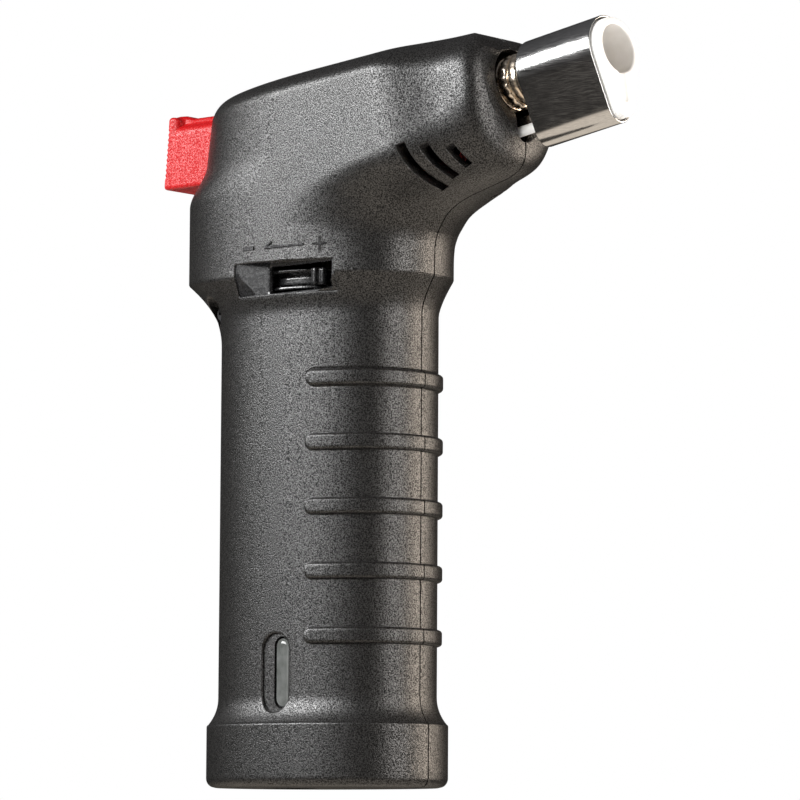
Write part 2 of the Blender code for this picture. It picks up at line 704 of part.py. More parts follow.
def outlet_valve(brass, rubber, steel):
    """The outlet valve over the tank: body, stem with its lift collar, spring, seal and filter."""
    centre = (0.0, 0.0, 0.0)
    outer = [(4.0, 71.0), (4.0, 81.0), (5.8, 81.0), (5.8, 84.0), (5.0, 84.0), (5.0, 90.3)]
    outer += [(4.2, 90.3), (4.2, 97.0)]
    bore = [(2.9, 71.0), (2.9, 95.0), (1.8, 95.0), (1.8, 97.0)]
    finish(turned("outlet_valve_body", outer, bore, centre=centre), brass)
    stem = [(2.5, 77.5), (2.5, 79.0), (1.5, 79.0), (1.5, 106.0), (3.4, 106.0), (3.4, 107.4)]
    stem += [(1.0, 107.4), (1.0, 110.8)]
    finish(turned("outlet_valve_stem", stem, centre=centre, count=14), brass)
    finish(turned("outlet_valve_seal", [(5.4, 80.2), (5.4, 80.8)], [(4.3, 80.2), (4.3, 80.8)],
                  centre=centre), rubber)
    finish(turned("outlet_valve_filter", [(2.6, 71.3), (2.6, 74.5)], centre=centre, count=12), steel)
    finish(coil("outlet_valve_spring", 2.2, 0.25, 79.3, 94.7, 6, "Z", centre), steel)
    wick = rod(1.1, (0.0, 0.0, 9.5), (0.0, 0.0, 71.0), 8, "fuel_wick")
    finish(wick, material("wick", (0.8, 0.78, 0.72), 0.9))


def adjust_lever(look):
    """The flame lever: a ring round the valve, an arm and a ridged tab that reaches the slot."""
    hub = turned("flame_adjust_lever", [(6.4, 90.6), (6.4, 95.6)], [(4.5, 90.6), (4.5, 95.6)])
    arm = box((5.8, -1.4, 92.9), (ADJUST_RADIUS - 1.6, 1.4, 95.1))
    tab = box((ADJUST_RADIUS - 2.6, -1.5, 92.6), (ADJUST_RADIUS - 0.8, 1.5, 95.9))
    combine(hub, arm, "UNION")
    combine(hub, tab, "UNION")
    face = ADJUST_RADIUS - 0.8
    for across in (-0.75, 0.75):
        combine(hub, rod(0.45, (face, across, 92.6), (face, across, 95.9), 8), "UNION")
    hub.rotation_euler = (0.0, 0.0, ADJUST_REST)
    return finish(hub, look)


# ---------------------------------------------------------------- trigger and igniter


def trigger(look):
    """The thumb trigger: a ridged button, a raised top and a tongue with the ramp that opens the gas."""
    button = [(-37.0, 115.8), (-36.2, 115.4), (-17.4, 115.4), (-17.4, 127.7), (-33.6, 127.7)]
    button += [(-34.4, 128.9), (-35.0, 129.4), (-35.9, 129.3), (-36.3, 128.6), (-36.9, 122.0), (-37.4, 116.4)]
    made = bevelled_outline(button, TRIGGER_HALF_Y, 0.9, "trigger")
    crown = [(-17.6, 126.5), (-17.6, 129.1), (-31.8, 129.1), (-33.0, 129.7), (-34.8, 129.6), (-34.9, 126.5)]
    combine(made, bevelled_outline(crown, 4.9, 0.7, "crown"), "UNION")
    ramp_drop = 12.0 * math.tan(math.radians(15.0))
    tongue = [(-14.0, 110.2), (-14.0, 113.4), (-20.0, 116.0), (-26.0, 116.0), (-26.0, 110.2 - ramp_drop)]
    combine(made, extruded(tongue, -3.0, 3.0), "UNION")
    for k in range(9):
        z = 117.6 + 1.05 * k
        groove = [(-40.0, z), (-40.0, z + 0.5), (-36.75 + 0.075 * k, z + 0.25)]
        combine(made, extruded(groove, -5.9, 5.9), "DIFFERENCE")
    return finish(made, look)


def igniter(body_look, plunger_look, steel):
    """The piezo igniter: its case, the plunger that the trigger drives in, and the spring."""
    (x0, _, _), (x1, _, _) = PIEZO_BOX
    case = box(*PIEZO_BOX, "piezo_case")
    middle = (PIEZO_BOX[0][2] + PIEZO_BOX[1][2]) / 2.0
    combine(case, box((x0 - 1.0, -3.2, middle - 3.8), (x1 - 2.0, 3.2, middle + 3.8)), "DIFFERENCE")
    finish(case, body_look)
    plunger = box((x0 - 6.0, -2.9, middle - 3.5), (x0 + 2.5, 2.9, middle + 3.5), "piezo_plunger")
    finish(plunger, plunger_look)
    spring = coil("piezo_spring", 2.4, 0.3, x0 + 2.9, x1 - 2.4, 6, "X", (0.0, 0.0, middle))
    finish(spring, steel)


def gas_lever(look, steel):
    """The lever that the ramp presses down behind its pivot, so that its fork lifts the valve stem."""
    px, pz = LEVER_PIVOT
    arm = [(px - 10.0, pz - 1.1), (px + 9.6, pz - 1.1), (px + 9.6, pz + 0.4), (px + 3.0, pz + 1.1)]
    arm += [(px, pz + 2.4), (px - 4.0, pz + 2.4), (px - 8.0, pz + 4.86), (px - 9.4, pz + 4.86)]
    arm += [(px - 10.0, pz + 4.2)]
    lever = extruded(arm, -2.8, 2.8, "gas_lever")
    combine(lever, box((-2.6, -1.9, pz - 4.0), (6.0, 1.9, pz + 4.0)), "DIFFERENCE")
    combine(lever, rod(1.35, (px, -5.0, pz), (px, 5.0, pz), 12), "DIFFERENCE")
    move_origin(lever, (px, 0.0, pz))
    finish(lever, look)
    finish(rod(1.0, (px, -PIN_HALF_LENGTH, pz), (px, PIN_HALF_LENGTH, pz), 12, "gas_lever_pin"), steel)


def move_origin(made, place):
    """Puts an object's origin at a place, leaving its shape where it is."""
    made.data.transform(Matrix.Translation(-Vector(place) * MM))
    made.location = Vector(place) * MM


# ---------------------------------------------------------------- burner


def drop_outline(inset, count=10):
    """The nozzle's drop shape, (y, up) about the burner axis, with the point below."""
    slope = math.asin((DROP_TOP_RADIUS - DROP_BOTTOM_RADIUS) / DROP_LENGTH)
    outline = []
    for k in range(count + 1):
        angle = -slope + (math.pi + 2.0 * slope) * k / count
        radius = DROP_TOP_RADIUS - inset
        outline.append((radius * math.cos(angle), radius * math.sin(angle)))
    for k in range(count // 2 + 1):
        angle = math.pi + slope + (math.pi - 2.0 * slope) * k / (count // 2)
        radius = DROP_BOTTOM_RADIUS - inset
        outline.append((radius * math.cos(angle), radius * math.sin(angle) - DROP_LENGTH))
    return outline


def drop_rings(layers):
    """Rings of the drop shape from (inset, distance along the axis) pairs."""
    return [[(along, y, up) for y, up in drop_outline(inset)] for inset, along in layers]


def nozzle(parent, steel, ceramic_look):
    """The steel sleeve, the bracket that carries it and the ceramic mouth."""
    outer = drop_rings([(0.0, SLEEVE_REAR), (0.0, SLEEVE_FRONT)])
    inner = drop_rings([(SLEEVE_WALL, SLEEVE_REAR), (SLEEVE_WALL, SLEEVE_FRONT)])
    finish(add_object("nozzle_sleeve", *tube_to_mesh(outer, inner), parent), steel)
    plate_inset = SLEEVE_WALL + GAP
    layers = [(plate_inset, 7.0), (plate_inset, 8.2)]
    bracket = add_object("sleeve_bracket", *rings_to_mesh(drop_rings(layers)))
    combine(bracket, rod(4.5, (0.0, 0.0, 0.0), (20.0, 0.0, 0.0), 20), "DIFFERENCE")
    drop = -ELECTRODE_DROP
    combine(bracket, rod(1.5, (0.0, 0.0, drop), (20.0, 0.0, drop), 12), "DIFFERENCE")
    bracket.parent = parent
    finish(bracket, steel)
    front = CERAMIC_FRONT
    layers = [(plate_inset, CERAMIC_REAR), (plate_inset, front - 0.7)]
    layers += [(plate_inset + 0.2, front - 0.2), (plate_inset + 0.7, front)]
    mouth = add_object("ceramic_mouth", *rings_to_mesh(drop_rings(layers)))
    combine(mouth, rod(FLAME_HOLE_RADIUS, (0.0, 0.0, 0.0), (40.0, 0.0, 0.0), 24), "DIFFERENCE")
    combine(mouth, box((0.0, -0.55, drop - 0.6), (SPARK_SLOT_FRONT, 0.55, 0.0)), "DIFFERENCE")
    combine(mouth, rod(1.3, (0.0, 0.0, drop), (SPARK_SLOT_FRONT, 0.0, drop), 12), "DIFFERENCE")
    groove = box((front - 0.6, -0.75, GROOVE_LOW), (40.0, 0.75, 0.0))
    combine(mouth, groove, "DIFFERENCE")
    mouth.parent = parent
    finish(mouth, ceramic_look)


def burner(parent, brass, steel, ceramic_look):
    """The gas jet, mixing tube, ringed nut and flame gauze along the axis, and the electrode below."""
    jet = [(1.0, -27.0), (1.0, -23.8), (3.2, -23.8), (3.2, -15.0), (2.4, -15.0), (2.4, -13.0)]
    jet += [(3.2, -13.0), (3.2, -6.4)]
    bore = [(0.6, -27.0), (0.6, -6.4)]
    finish(turned("jet_holder", jet, bore, "X", parent=parent), brass)
    tube = turned("mixing_tube", [(4.1, -6.0), (4.1, 15.0)], [(3.3, -6.0), (3.3, 15.0)], "X", count=18)
    for turn in (0.25, 0.75):
        angle = math.pi * turn
        across = Vector((0.0, 8.0 * math.cos(angle), 8.0 * math.sin(angle)))
        middle = Vector((-4.2, 0.0, 0.0))
        combine(tube, rod(1.0, middle - across, middle + across, 8), "DIFFERENCE")
    tube.parent = parent
    finish(tube, steel)
    nut = [(4.9, -2.6), (5.2, -2.3), (5.2, -1.2), (4.8, -0.9), (4.8, -0.5), (5.2, -0.2), (5.2, 0.9)]
    nut += [(4.8, 1.2), (4.8, 1.6), (5.2, 1.9), (5.2, 3.0), (4.8, 3.3)]
    finish(turned("burner_nut", nut, [(4.4, -2.6), (4.4, 3.3)], "X", count=20, parent=parent), brass)
    finish(turned("flame_gauze", [(3.0, 12.4), (3.0, 13.4)], [(0.8, 12.4), (0.8, 13.4)], "X",
                  count=16, parent=parent), steel)
    low = -ELECTRODE_DROP
    sleeve = turned("electrode_insulator", [(INSULATOR_RADIUS, -10.0), (INSULATOR_RADIUS, 13.6)],
                    [(0.6, -10.0), (0.6, 13.6)], "X", (0.0, 0.0, low), 12, parent)
    finish(sleeve, ceramic_look)
    finish(turned("electrode_rod", [(0.3, -9.0), (0.3, 19.0)], axis="X", centre=(0.0, 0.0, low), count=8,
                  parent=parent), steel)


def leads(rubber_look, lead_look, ground_look):
    """The gas hose from the valve stem to the jet, and the igniter's two leads."""
    tilt = Vector((math.cos(BURNER_TILT), 0.0, math.sin(BURNER_TILT)))
    face = Vector((BURNER_X, 0.0, BURNER_Z))
    jet_end = face - tilt * 24.2
    hose = [(0.0, 0.0, 109.0), (0.0, 0.0, 111.4), (1.0, 0.0, 113.9), (4.0, 0.0, 115.2)]
    hose += [(9.5, 0.0, 115.7), (13.6, 0.0, 118.2), (16.2, 0.0, 122.0), jet_end - tilt * 2.6, jet_end]
    finish(swept("gas_hose", smooth_path(hose, 2), 1.9, 1.3), rubber_look)
    down = Vector((math.sin(BURNER_TILT), 0.0, -math.cos(BURNER_TILT)))
    rear = face - tilt * 9.4 + down * ELECTRODE_DROP
    lead = [(8.4, 2.4, 122.0), (10.9, 3.4, 121.0), (14.0, 5.2, 118.4), (20.0, 5.6, 116.2)]
    lead += [(28.0, 4.0, 115.6), tuple(rear - tilt * 4.6), tuple(rear - tilt * 0.9)]
    finish(swept("ignition_lead", smooth_path(lead, 3), 0.8, count=6), lead_look)
    ground = [(8.4, -2.4, 122.0), (10.9, -3.4, 121.6), (15.0, -4.9, 122.6), (20.0, -5.2, 124.4)]
    for behind, y in ((20.6, -5.0), (14.0, -4.1), (12.6, -4.1)):
        ground.append(tuple(face - tilt * behind + Vector((0.0, y, 0.0))))
    finish(swept("ground_lead", smooth_path(ground, 3), 0.5, count=6), ground_look)


def housing_screws(look):
    """Countersunk-head screws, each driven along Y into the opposite half's boss."""
    for name, (x, z, side) in SCREWS.items():
        profile = [(1.9, 0.0), (2.2, 0.5), (2.2, 1.3), (1.1, 1.3), (1.1, 13.5), (0.5, 14.4)]
        rings = []
        for radius, depth in profile:
            y = side * (SCREW_SEAT_Y + 1.3 + GAP - depth)
            rings.append([(x + u, y, z + v) for u, v in circle(radius, 12)])
        screw = add_object(name, *rings_to_mesh(rings))
        for size in ((1.5, 0.3), (0.3, 1.5)):
            deep = sorted((side * (SCREW_SEAT_Y + 1.3 + GAP - 0.9), side * 12.0))
            cross = box((x - size[0], deep[0], z - size[1]), (x + size[0], deep[1], z + size[1]))
            combine(screw, cross, "DIFFERENCE")
        finish(screw, look)


def build():
    """Every piece of the torch, in the order in which it is assembled."""
    plastic = material("black_plastic", (0.022, 0.021, 0.021), 0.5)
    red = material("red_plastic", (0.72, 0.02, 0.03), 0.32)
    grey = material("lever_plastic", (0.03, 0.03, 0.032), 0.4)
    tank_look = material("tank_plastic", (0.72, 0.73, 0.72), 0.3, alpha=0.6)
    brass = material("brass", (0.72, 0.5, 0.25), 0.28, 1.0)
    steel = material("stainless", (0.62, 0.61, 0.6), 0.3, 1.0)
    ceramic_look = material("ceramic", (0.87, 0.86, 0.84), 0.35)
    rubber = material("rubber", (0.03, 0.03, 0.03), 0.7)
    cream = material("igniter_plastic", (0.78, 0.74, 0.62), 0.45)

    fuel_tank(tank_look)
    tank_lid(plastic)
    refill_valve(brass, rubber, steel)
    outlet_valve(brass, rubber, steel)
    adjust_lever(grey)
    igniter(grey, cream, steel)
    gas_lever(cream, steel)
    trigger(red)
    burner_place = bpy.data.objects.new("burner_frame", None)
    bpy.context.collection.objects.link(burner_place)
    burner_place.location = Vector((BURNER_X, 0.0, BURNER_Z)) * MM
    burner_place.rotation_euler = (0.0, -BURNER_TILT, 0.0)
    bpy.context.view_layer.update()
    burner(burner_place, brass, steel, ceramic_look)
    nozzle(burner_place, steel, ceramic_look)
    lead_look = material("lead_red", (0.5, 0.05, 0.04), 0.5)
    leads(rubber, lead_look, material("lead_black", (0.02, 0.02, 0.02), 0.5))
    housing("right_housing", -1, plastic)
    housing("left_housing", 1, plastic)
    housing_screws(steel)


build()
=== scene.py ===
"""The looks of a butane torch for jewellery making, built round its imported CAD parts.

Shapes are worked out in millimetres, in the row frame: +X is the way the flame points, +Y the
torch's left and +Z up, with the origin in the middle of the base. Meshes are made in metres.
"""

import functools
import json
import math

import bmesh
import bpy
import numpy as np
from mathutils import Matrix, Vector
from mathutils.bvhtree import BVHTree


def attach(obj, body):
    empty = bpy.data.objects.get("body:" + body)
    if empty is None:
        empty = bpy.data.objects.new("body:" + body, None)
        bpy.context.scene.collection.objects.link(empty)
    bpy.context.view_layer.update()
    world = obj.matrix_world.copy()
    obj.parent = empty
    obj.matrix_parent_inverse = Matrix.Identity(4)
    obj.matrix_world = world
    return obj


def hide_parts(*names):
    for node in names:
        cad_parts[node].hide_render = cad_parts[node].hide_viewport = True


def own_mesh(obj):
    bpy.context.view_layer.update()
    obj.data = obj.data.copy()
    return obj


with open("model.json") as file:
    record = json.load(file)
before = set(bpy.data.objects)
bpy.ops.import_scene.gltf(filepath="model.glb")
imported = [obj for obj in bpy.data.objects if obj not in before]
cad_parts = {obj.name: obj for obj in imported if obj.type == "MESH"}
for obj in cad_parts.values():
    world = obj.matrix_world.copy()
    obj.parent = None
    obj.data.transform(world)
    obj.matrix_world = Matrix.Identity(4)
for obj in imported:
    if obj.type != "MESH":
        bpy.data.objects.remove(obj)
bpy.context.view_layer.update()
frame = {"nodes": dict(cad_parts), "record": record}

MM = 0.001
PARTING = 0.15
SECTION_POWER = 2.22
HANDLE_X = 22.7
HANDLE_Y = 15.35
BASE_LIP = 2.1
BASE_HEIGHT = 11.6
BASE_ROUND = 1.8
FLARE_BOTTOM = 83.0
FRONT_FLARE_BOTTOM = 88.0
LEDGE_Z = 94.6
LEDGE_FRONT = 25.7
LEDGE_REAR = 31.3
LEDGE_Y = 17.55
LEDGE_RISE = 1.3
REAR_FLARE_POWER = 2.2
FRONT_FLARE_POWER = 1.4
TOP_REAR = (-19.0, 133.0)
TOP_FRONT = (38.5, 138.4)
TOP_ROUND = 6.5
REAR_STEP = (110.5, 118.5)
REAR_X_ABOVE_STEP = -26.9
REAR_LEAN = 0.14
BURNER_X = 45.4
BURNER_Z = 128.5
BURNER_TILT = math.radians(9.4)
NOSE_RADIUS = 13.1
NOSE_TOP_ROUND = 9.0
NOSE_ROUND = 4.0
NOSE_START = -21.0
NOSE_FULL = -6.0
RIB_HEIGHTS = [27.7 + 11.9 * row for row in range(5)]
RIB_HALF_HEIGHT = 1.55
RIB_PROUD = 0.9
RIB_END_X = 7.3

# Front and rear outline points of the head's rows, how far the front one is rounded over, and
# how far the rear one is
HEAD_ROWS = np.array([
    (25.7, 94.6, -31.3, 94.6, 25.7, 0.01),
    (25.7, 97.5, -31.3, 102.5, 25.7, 0.01),
    (25.8, 100.0, -31.3, 110.0, 25.2, 0.01),
    (26.3, 102.0, -30.3, 113.3, 24.0, 0.01),
    (27.4, 103.9, -27.9, 116.4, 22.5, 0.01),
    (28.6, 105.5, -26.9, 119.6, 21.0, 1.0),
    (30.3, 106.8, -26.3, 123.4, 19.0, 3.0),
    (32.3, 107.8, -25.7, 127.8, 17.3, 3.0),
    (34.5, 108.6, -24.0, 131.2, 16.0, 3.0),
    (36.7, 109.2, -19.6, 132.9, 15.0, 2.0),
    (38.9, 109.8, -10.0, 133.8, 14.2, 0.01),
    (41.1, 110.4, 2.0, 134.8, 13.5, 0.01),
    (43.2, 111.0, 14.0, 136.0, 12.9, 0.01),
    (45.0, 111.8, 24.5, 137.1, 12.5, 0.01),
    (46.3, 112.8, 32.0, 137.8, 12.4, 0.01),
    (47.1, 114.2, 38.0, 137.9, 12.5, 0.01),
    (47.3, 115.5, 42.0, 136.7, 12.7, 0.01),
    (47.25, 116.6, 44.3, 134.2, 12.9, 0.01),
])


# ---------------- materials


# Where a fine noise turns from its low to its high end, for a grain's colour and for its glint
GRAIN_ENDS = (0.36, 0.66)
GLINT_ENDS = (0.4, 0.62)
# The pointiness of an edge where the painted edge highlight starts, and where it is full, and how much
# lighter than the grain's light colour it paints the edge
EDGE_HIGHLIGHT_ENDS = (0.53, 0.62)
EDGE_HIGHLIGHT_LIFT = 2.2


def preset(inputs, **values):
    """Sets the values of a node's own inputs, with _ for each space in an input's name."""
    for key, value in values.items():
        inputs[key.replace("_", " ")].default_value = value


def node_maker(tree):
    """A function that adds a node to a tree, with values for its settings or its inputs."""

    def node(kind, **values):
        added = tree.nodes.new("ShaderNode" + kind)
        for key, value in values.items():
            if hasattr(added, key):
                setattr(added, key, value)
            else:
                preset(added.inputs, **{key: value})
        return added

    return node


def new_material(name):
    """A material, its link call, its Principled shader's inputs, and its node maker."""
    made = bpy.data.materials.new(name)
    made.use_nodes = True
    tree = made.node_tree
    return made, tree.links.new, tree.nodes["Principled BSDF"].inputs, node_maker(tree)


def grain(node, link, place, scale, detail, stretch=None):
    """A noise texture over the piece's own metres, stretched where a direction is given."""
    noise = node("TexNoise", Scale=scale, Detail=detail)
    source = place.outputs["Object"]
    if stretch:
        mapping = node("Mapping", Scale=stretch)
        link(source, mapping.inputs["Vector"])
        source = mapping.outputs["Vector"]
    link(source, noise.inputs["Vector"])
    return noise.outputs["Fac"]


def ranged(node, link, source, low, high, start=0.3, end=0.7):
    """A value spread from low to high as the source goes from start to end."""
    spread_out = node("MapRange", From_Min=start, From_Max=end, To_Min=low, To_Max=high)
    link(source, spread_out.inputs["Value"])
    return spread_out.outputs["Result"]


def two_tone(node, link, source, dark, light, start=0.3, end=0.7):
    """A colour that goes from dark to light with the source."""
    ramp = node("ValToRGB")
    for stop, place, colour in zip(ramp.color_ramp.elements, (start, end), (dark, light)):
        stop.position, stop.color = place, (*colour, 1.0)
    link(source, ramp.inputs["Fac"])
    return ramp.outputs["Color"]


def bump(node, link, inputs, source, strength, distance):
    """Fine relief on the shader's normal, its distance in metres."""
    relief = node("Bump", Strength=strength, Distance=distance)
    link(source, relief.inputs["Height"])
    link(relief.outputs["Normal"], inputs["Normal"])


def moulded(name, dark, light, rough, cell, strength, glint=None, coat=0.0, edge_highlight=0.0):
    """Moulded plastic with a spark-eroded grain: its cell size is in metres."""
    made, link, inputs, node = new_material(name)
    place = node("TexCoord")
    fine = grain(node, link, place, 1.0 / cell, 3.0)
    broad = grain(node, link, place, 60.0, 3.0)
    colour = two_tone(node, link, fine, dark, light, *GRAIN_ENDS)
    tint = node("Mix", data_type="RGBA", blend_type="MULTIPLY", Factor=0.35)
    link(colour, tint.inputs["A"])
    link(two_tone(node, link, broad, (0.8, 0.79, 0.78), (1.0, 1.0, 1.0)), tint.inputs["B"])
    last = tint.outputs["Result"]
    # Sharp edges are painted lighter: a painted edge highlight
    if edge_highlight:
        edges = node("NewGeometry")
        highlight_share = ranged(node, link, edges.outputs["Pointiness"], 0.0, edge_highlight, *EDGE_HIGHLIGHT_ENDS)
        lift = node("Mix", data_type="RGBA", B=(*[EDGE_HIGHLIGHT_LIFT * shade for shade in light], 1.0))
        link(highlight_share, lift.inputs["Factor"])
        link(last, lift.inputs["A"])
        last = lift.outputs["Result"]
    link(last, inputs["Base Color"])
    link(ranged(node, link, fine, rough + 0.08, rough - 0.08), inputs["Roughness"])
    if glint:
        link(ranged(node, link, fine, *glint, *GLINT_ENDS), inputs["Specular IOR Level"])
    preset(inputs, Coat_Weight=coat, Coat_Roughness=0.12)
    bump(node, link, inputs, fine, strength, cell * 0.4)
    return made


def brushed(name, dark, light, rough, stretch, relief):
    """Brushed metal with fine streaks: stretch is small along the brushing."""
    made, link, inputs, node = new_material(name)
    place = node("TexCoord")
    streaks = grain(node, link, place, 1.0, 4.0, stretch)
    cloud = grain(node, link, place, 90.0, 3.0)
    link(two_tone(node, link, streaks, dark, light), inputs["Base Color"])
    mixed = node("Math", operation="MULTIPLY_ADD")
    link(ranged(node, link, streaks, -0.05, 0.06), mixed.inputs[0])
    mixed.inputs[1].default_value = 1.0
    link(ranged(node, link, cloud, rough - 0.03, rough + 0.03), mixed.inputs[2])
    link(mixed.outputs["Value"], inputs["Roughness"])
    preset(inputs, Metallic=1.0)
    bump(node, link, inputs, streaks, relief, 0.00003)
    return made


def glazed(name, dark, light, rough, subsurface=0.0):
    """Ceramic or smooth plastic: an even body with faint mottling."""
    made, link, inputs, node = new_material(name)
    place = node("TexCoord")
    mottle = grain(node, link, place, 400.0, 3.0)
    link(two_tone(node, link, mottle, dark, light), inputs["Base Color"])
    link(ranged(node, link, mottle, rough - 0.05, rough + 0.05), inputs["Roughness"])
    preset(inputs, Subsurface_Weight=subsurface, Subsurface_Radius=(0.002, 0.002, 0.0018))
    bump(node, link, inputs, mottle, 0.05, 0.00005)
    return made


# Each finish's maker and its values: moulded takes the dark and light colour, roughness, cell,
# strength, glint, coat and painted edge highlight; brushed the colours, roughness, stretch and relief; glazed
# the colours, roughness and subsurface
FINISHES = [
    # black_plastic's last value paints its sharp edges lighter: a painted edge highlight
    (moulded, "black_plastic", (0.003, 0.0029, 0.0028), (0.02, 0.019, 0.018), 0.36, 0.00024, 0.8,
     (0.15, 1.05), 0.0, 0.3),
    (moulded, "red_plastic", (0.34, 0.002, 0.003), (0.46, 0.007, 0.009), 0.42, 0.0003, 0.6, (0.1, 0.5)),
    (moulded, "lever_plastic", (0.008, 0.008, 0.0085), (0.02, 0.02, 0.021), 0.24, 0.0006, 0.08, None, 0.6),
    (moulded, "cream_plastic", (0.66, 0.61, 0.48), (0.8, 0.76, 0.64), 0.45, 0.0008, 0.08),
    (brushed, "brass", (0.78, 0.64, 0.5), (0.93, 0.83, 0.7), 0.27, (500.0, 1100.0, 1100.0), 0.8),
    (brushed, "stainless", (0.52, 0.517, 0.513), (0.66, 0.656, 0.652), 0.165, (130.0, 8000.0, 8000.0), 0.12),
    # Near-black screw steel: painted shade of the screw wells
    (brushed, "screw_steel", (0.012, 0.012, 0.012), (0.022, 0.022, 0.023), 0.5, (900.0, 900.0, 900.0), 0.06),
    (glazed, "ceramic", (0.86, 0.845, 0.82), (0.93, 0.92, 0.9), 0.38, 0.2),
    (glazed, "tank_plastic", (0.07, 0.074, 0.07), (0.13, 0.135, 0.13), 0.16),
    (moulded, "rubber", (0.014, 0.014, 0.014), (0.03, 0.03, 0.03), 0.6, 0.0005, 0.2),
    (moulded, "lead_red", (0.2, 0.015, 0.012), (0.3, 0.025, 0.02), 0.5, 0.0006, 0.1),
    (moulded, "wick", (0.62, 0.6, 0.54), (0.82, 0.8, 0.74), 0.85, 0.0003, 0.6),
]
LOOKS = {name: make(name, *values) for make, name, *values in FINISHES}


# ---------------- meshes


def placed(name, data):
    """An object for some data, in the scene."""
    made = bpy.data.objects.new(name, data)
    bpy.context.scene.collection.objects.link(made)
    return made


def mesh_object(name, points, faces):
    """A mesh object from points in millimetres, its faces turned outwards."""
    mesh = bpy.data.meshes.new(name)
    mesh.from_pydata((np.asarray(points, float) * MM).tolist(), [], [list(map(int, f)) for f in faces])
    shell = bmesh.new()
    shell.from_mesh(mesh)
    bmesh.ops.recalc_face_normals(shell, faces=shell.faces)
    shell.to_mesh(mesh)
    shell.free()
    return placed(name, mesh)


def combine(target, tool, operation):
    """Joins, cuts or intersects the target with the tool, which is used up."""
    before = len(target.data.polygons)
    step = target.modifiers.new("shape", "BOOLEAN")
    step.operation = operation
    step.solver = "MANIFOLD"
    step.object = tool
    bpy.context.view_layer.update()
    seen = target.evaluated_get(bpy.context.evaluated_depsgraph_get())
    shaped = bpy.data.meshes.new_from_object(seen)
    target.modifiers.clear()
    if len(shaped.polygons) == before:
        raise RuntimeError(f"{operation} of {target.name} and {tool.name} changed nothing")
    target.data = shaped
    bpy.data.objects.remove(tool, do_unlink=True)


def cut(target, tool):
    """Cuts the tool, which is used up, out of the target."""
    combine(target, tool, "DIFFERENCE")


def dress(made, slot, body="torch", stands_for=(), smooth_angle=32.0):
    """Gives a finished piece its material and shading, and says what it rides on and replaces."""
    made.data.materials.clear()
    made.data.materials.append(LOOKS[slot])
    made.data.shade_smooth()
    if smooth_angle:
        made.data.set_sharp_from_angle(angle=math.radians(smooth_angle))
    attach(made, body)
    if stands_for:
        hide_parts(*stands_for)


def ring_body(name, rings, closed=False):
    """A body through closed rings, all alike in count, capped at both ends or else joined end to end."""
    rings = np.asarray(rings, float)
    rows, count = rings.shape[:2]
    number = np.arange(rows * count).reshape(rows, count)
    if closed:
        number = np.vstack([number, number[:1]])
    after = np.roll(number, -1, axis=1)
    faces = np.stack([number[:-1], after[:-1], after[1:], number[1:]], axis=-1).reshape(-1, 4).tolist()
    if not closed:
        faces += [number[0].tolist(), number[-1].tolist()]
    return mesh_object(name, rings.reshape(-1, 3), faces)


def block(name, low, high):
    """A box between two corners."""
    (x0, y0, z0), (x1, y1, z1) = low, high
    rings = [[(x0, y0, z), (x1, y0, z), (x1, y1, z), (x0, y1, z)] for z in (z0, z1)]
    return ring_body(name, rings)


def burner_points(points):
    """Points from the burner's own frame, (ahead, left, up), moved onto the burner axis."""
    points = np.asarray(points, float)
    cos, sin = math.cos(BURNER_TILT), math.sin(BURNER_TILT)
    x = BURNER_X + points[..., 0] * cos - points[..., 2] * sin
    z = BURNER_Z + points[..., 0] * sin + points[..., 2] * cos
    return np.stack([x, points[..., 1], z], axis=-1)


def surface_net(field, low, step):
    """A closed mesh round the places of a sampled field that are below 0."""
    cells = tuple(n - 1 for n in field.shape)
    total, count = np.zeros((*cells, 3)), np.zeros(cells)
    edges = []
    for axis in range(3):
        near, far = [slice(None)] * 3, [slice(None)] * 3
        near[axis], far[axis] = slice(0, -1), slice(1, None)
        first, second = field[tuple(near)], field[tuple(far)]
        crossing = np.argwhere((first < 0.0) != (second < 0.0))
        a, b = first[tuple(crossing.T)], second[tuple(crossing.T)]
        place = crossing.astype(float)
        place[:, axis] += a / (a - b)
        sides = [k for k in range(3) if k != axis]
        corners = []
        for du, dv in ((0, 0), (1, 0), (1, 1), (0, 1)):
            cell = crossing.copy()
            cell[:, sides[0]] -= du
            cell[:, sides[1]] -= dv
            np.add.at(total, tuple(cell.T), place)
            np.add.at(count, tuple(cell.T), 1.0)
            corners.append(cell)
        edges.append(corners)
    used = np.argwhere(count > 0.0)
    number = np.full(cells, -1)
    number[tuple(used.T)] = np.arange(len(used))
    points = total[tuple(used.T)] / count[tuple(used.T)][:, None] * step + np.asarray(low)
    faces = [np.stack([number[tuple(c.T)] for c in corners], axis=1) for corners in edges]
    return points, np.concatenate(faces)


def sampled(low, high, step):
    """A grid of places between two corners, as three arrays."""
    spans = [np.arange(a, b + step, step) for a, b in zip(low, high)]
    return np.meshgrid(*spans, indexing="ij")


def solid_from(name, distance, low, high, step):
    """A mesh object round the inside of a distance function of x, y and z."""
    x, y, z = sampled(low, high, step)
    return mesh_object(name, *surface_net(distance(x, y, z), low, step))


def most(*values):
    """The greatest of several values, place by place."""
    return functools.reduce(np.maximum, values)


def round_box(x, y, z, low, high, radius):
    """Distance to a box with rounded edges."""
    outside, deepest = 0.0, -math.inf
    for value, a, b in zip((x, y, z), low, high):
        gap = abs(value - (a + b) / 2.0) - (b - a) / 2.0 + radius
        outside = outside + np.maximum(gap, 0.0) ** 2
        deepest = np.maximum(deepest, gap)
    return np.sqrt(outside) + np.minimum(deepest, 0.0) - radius


def soft_union(a, b, reach):
    """Two distances joined with a fillet of about the given reach."""
    share = np.clip(0.5 + 0.5 * (b - a) / reach, 0.0, 1.0)
    return b + (a - b) * share - reach * share * (1.0 - share)


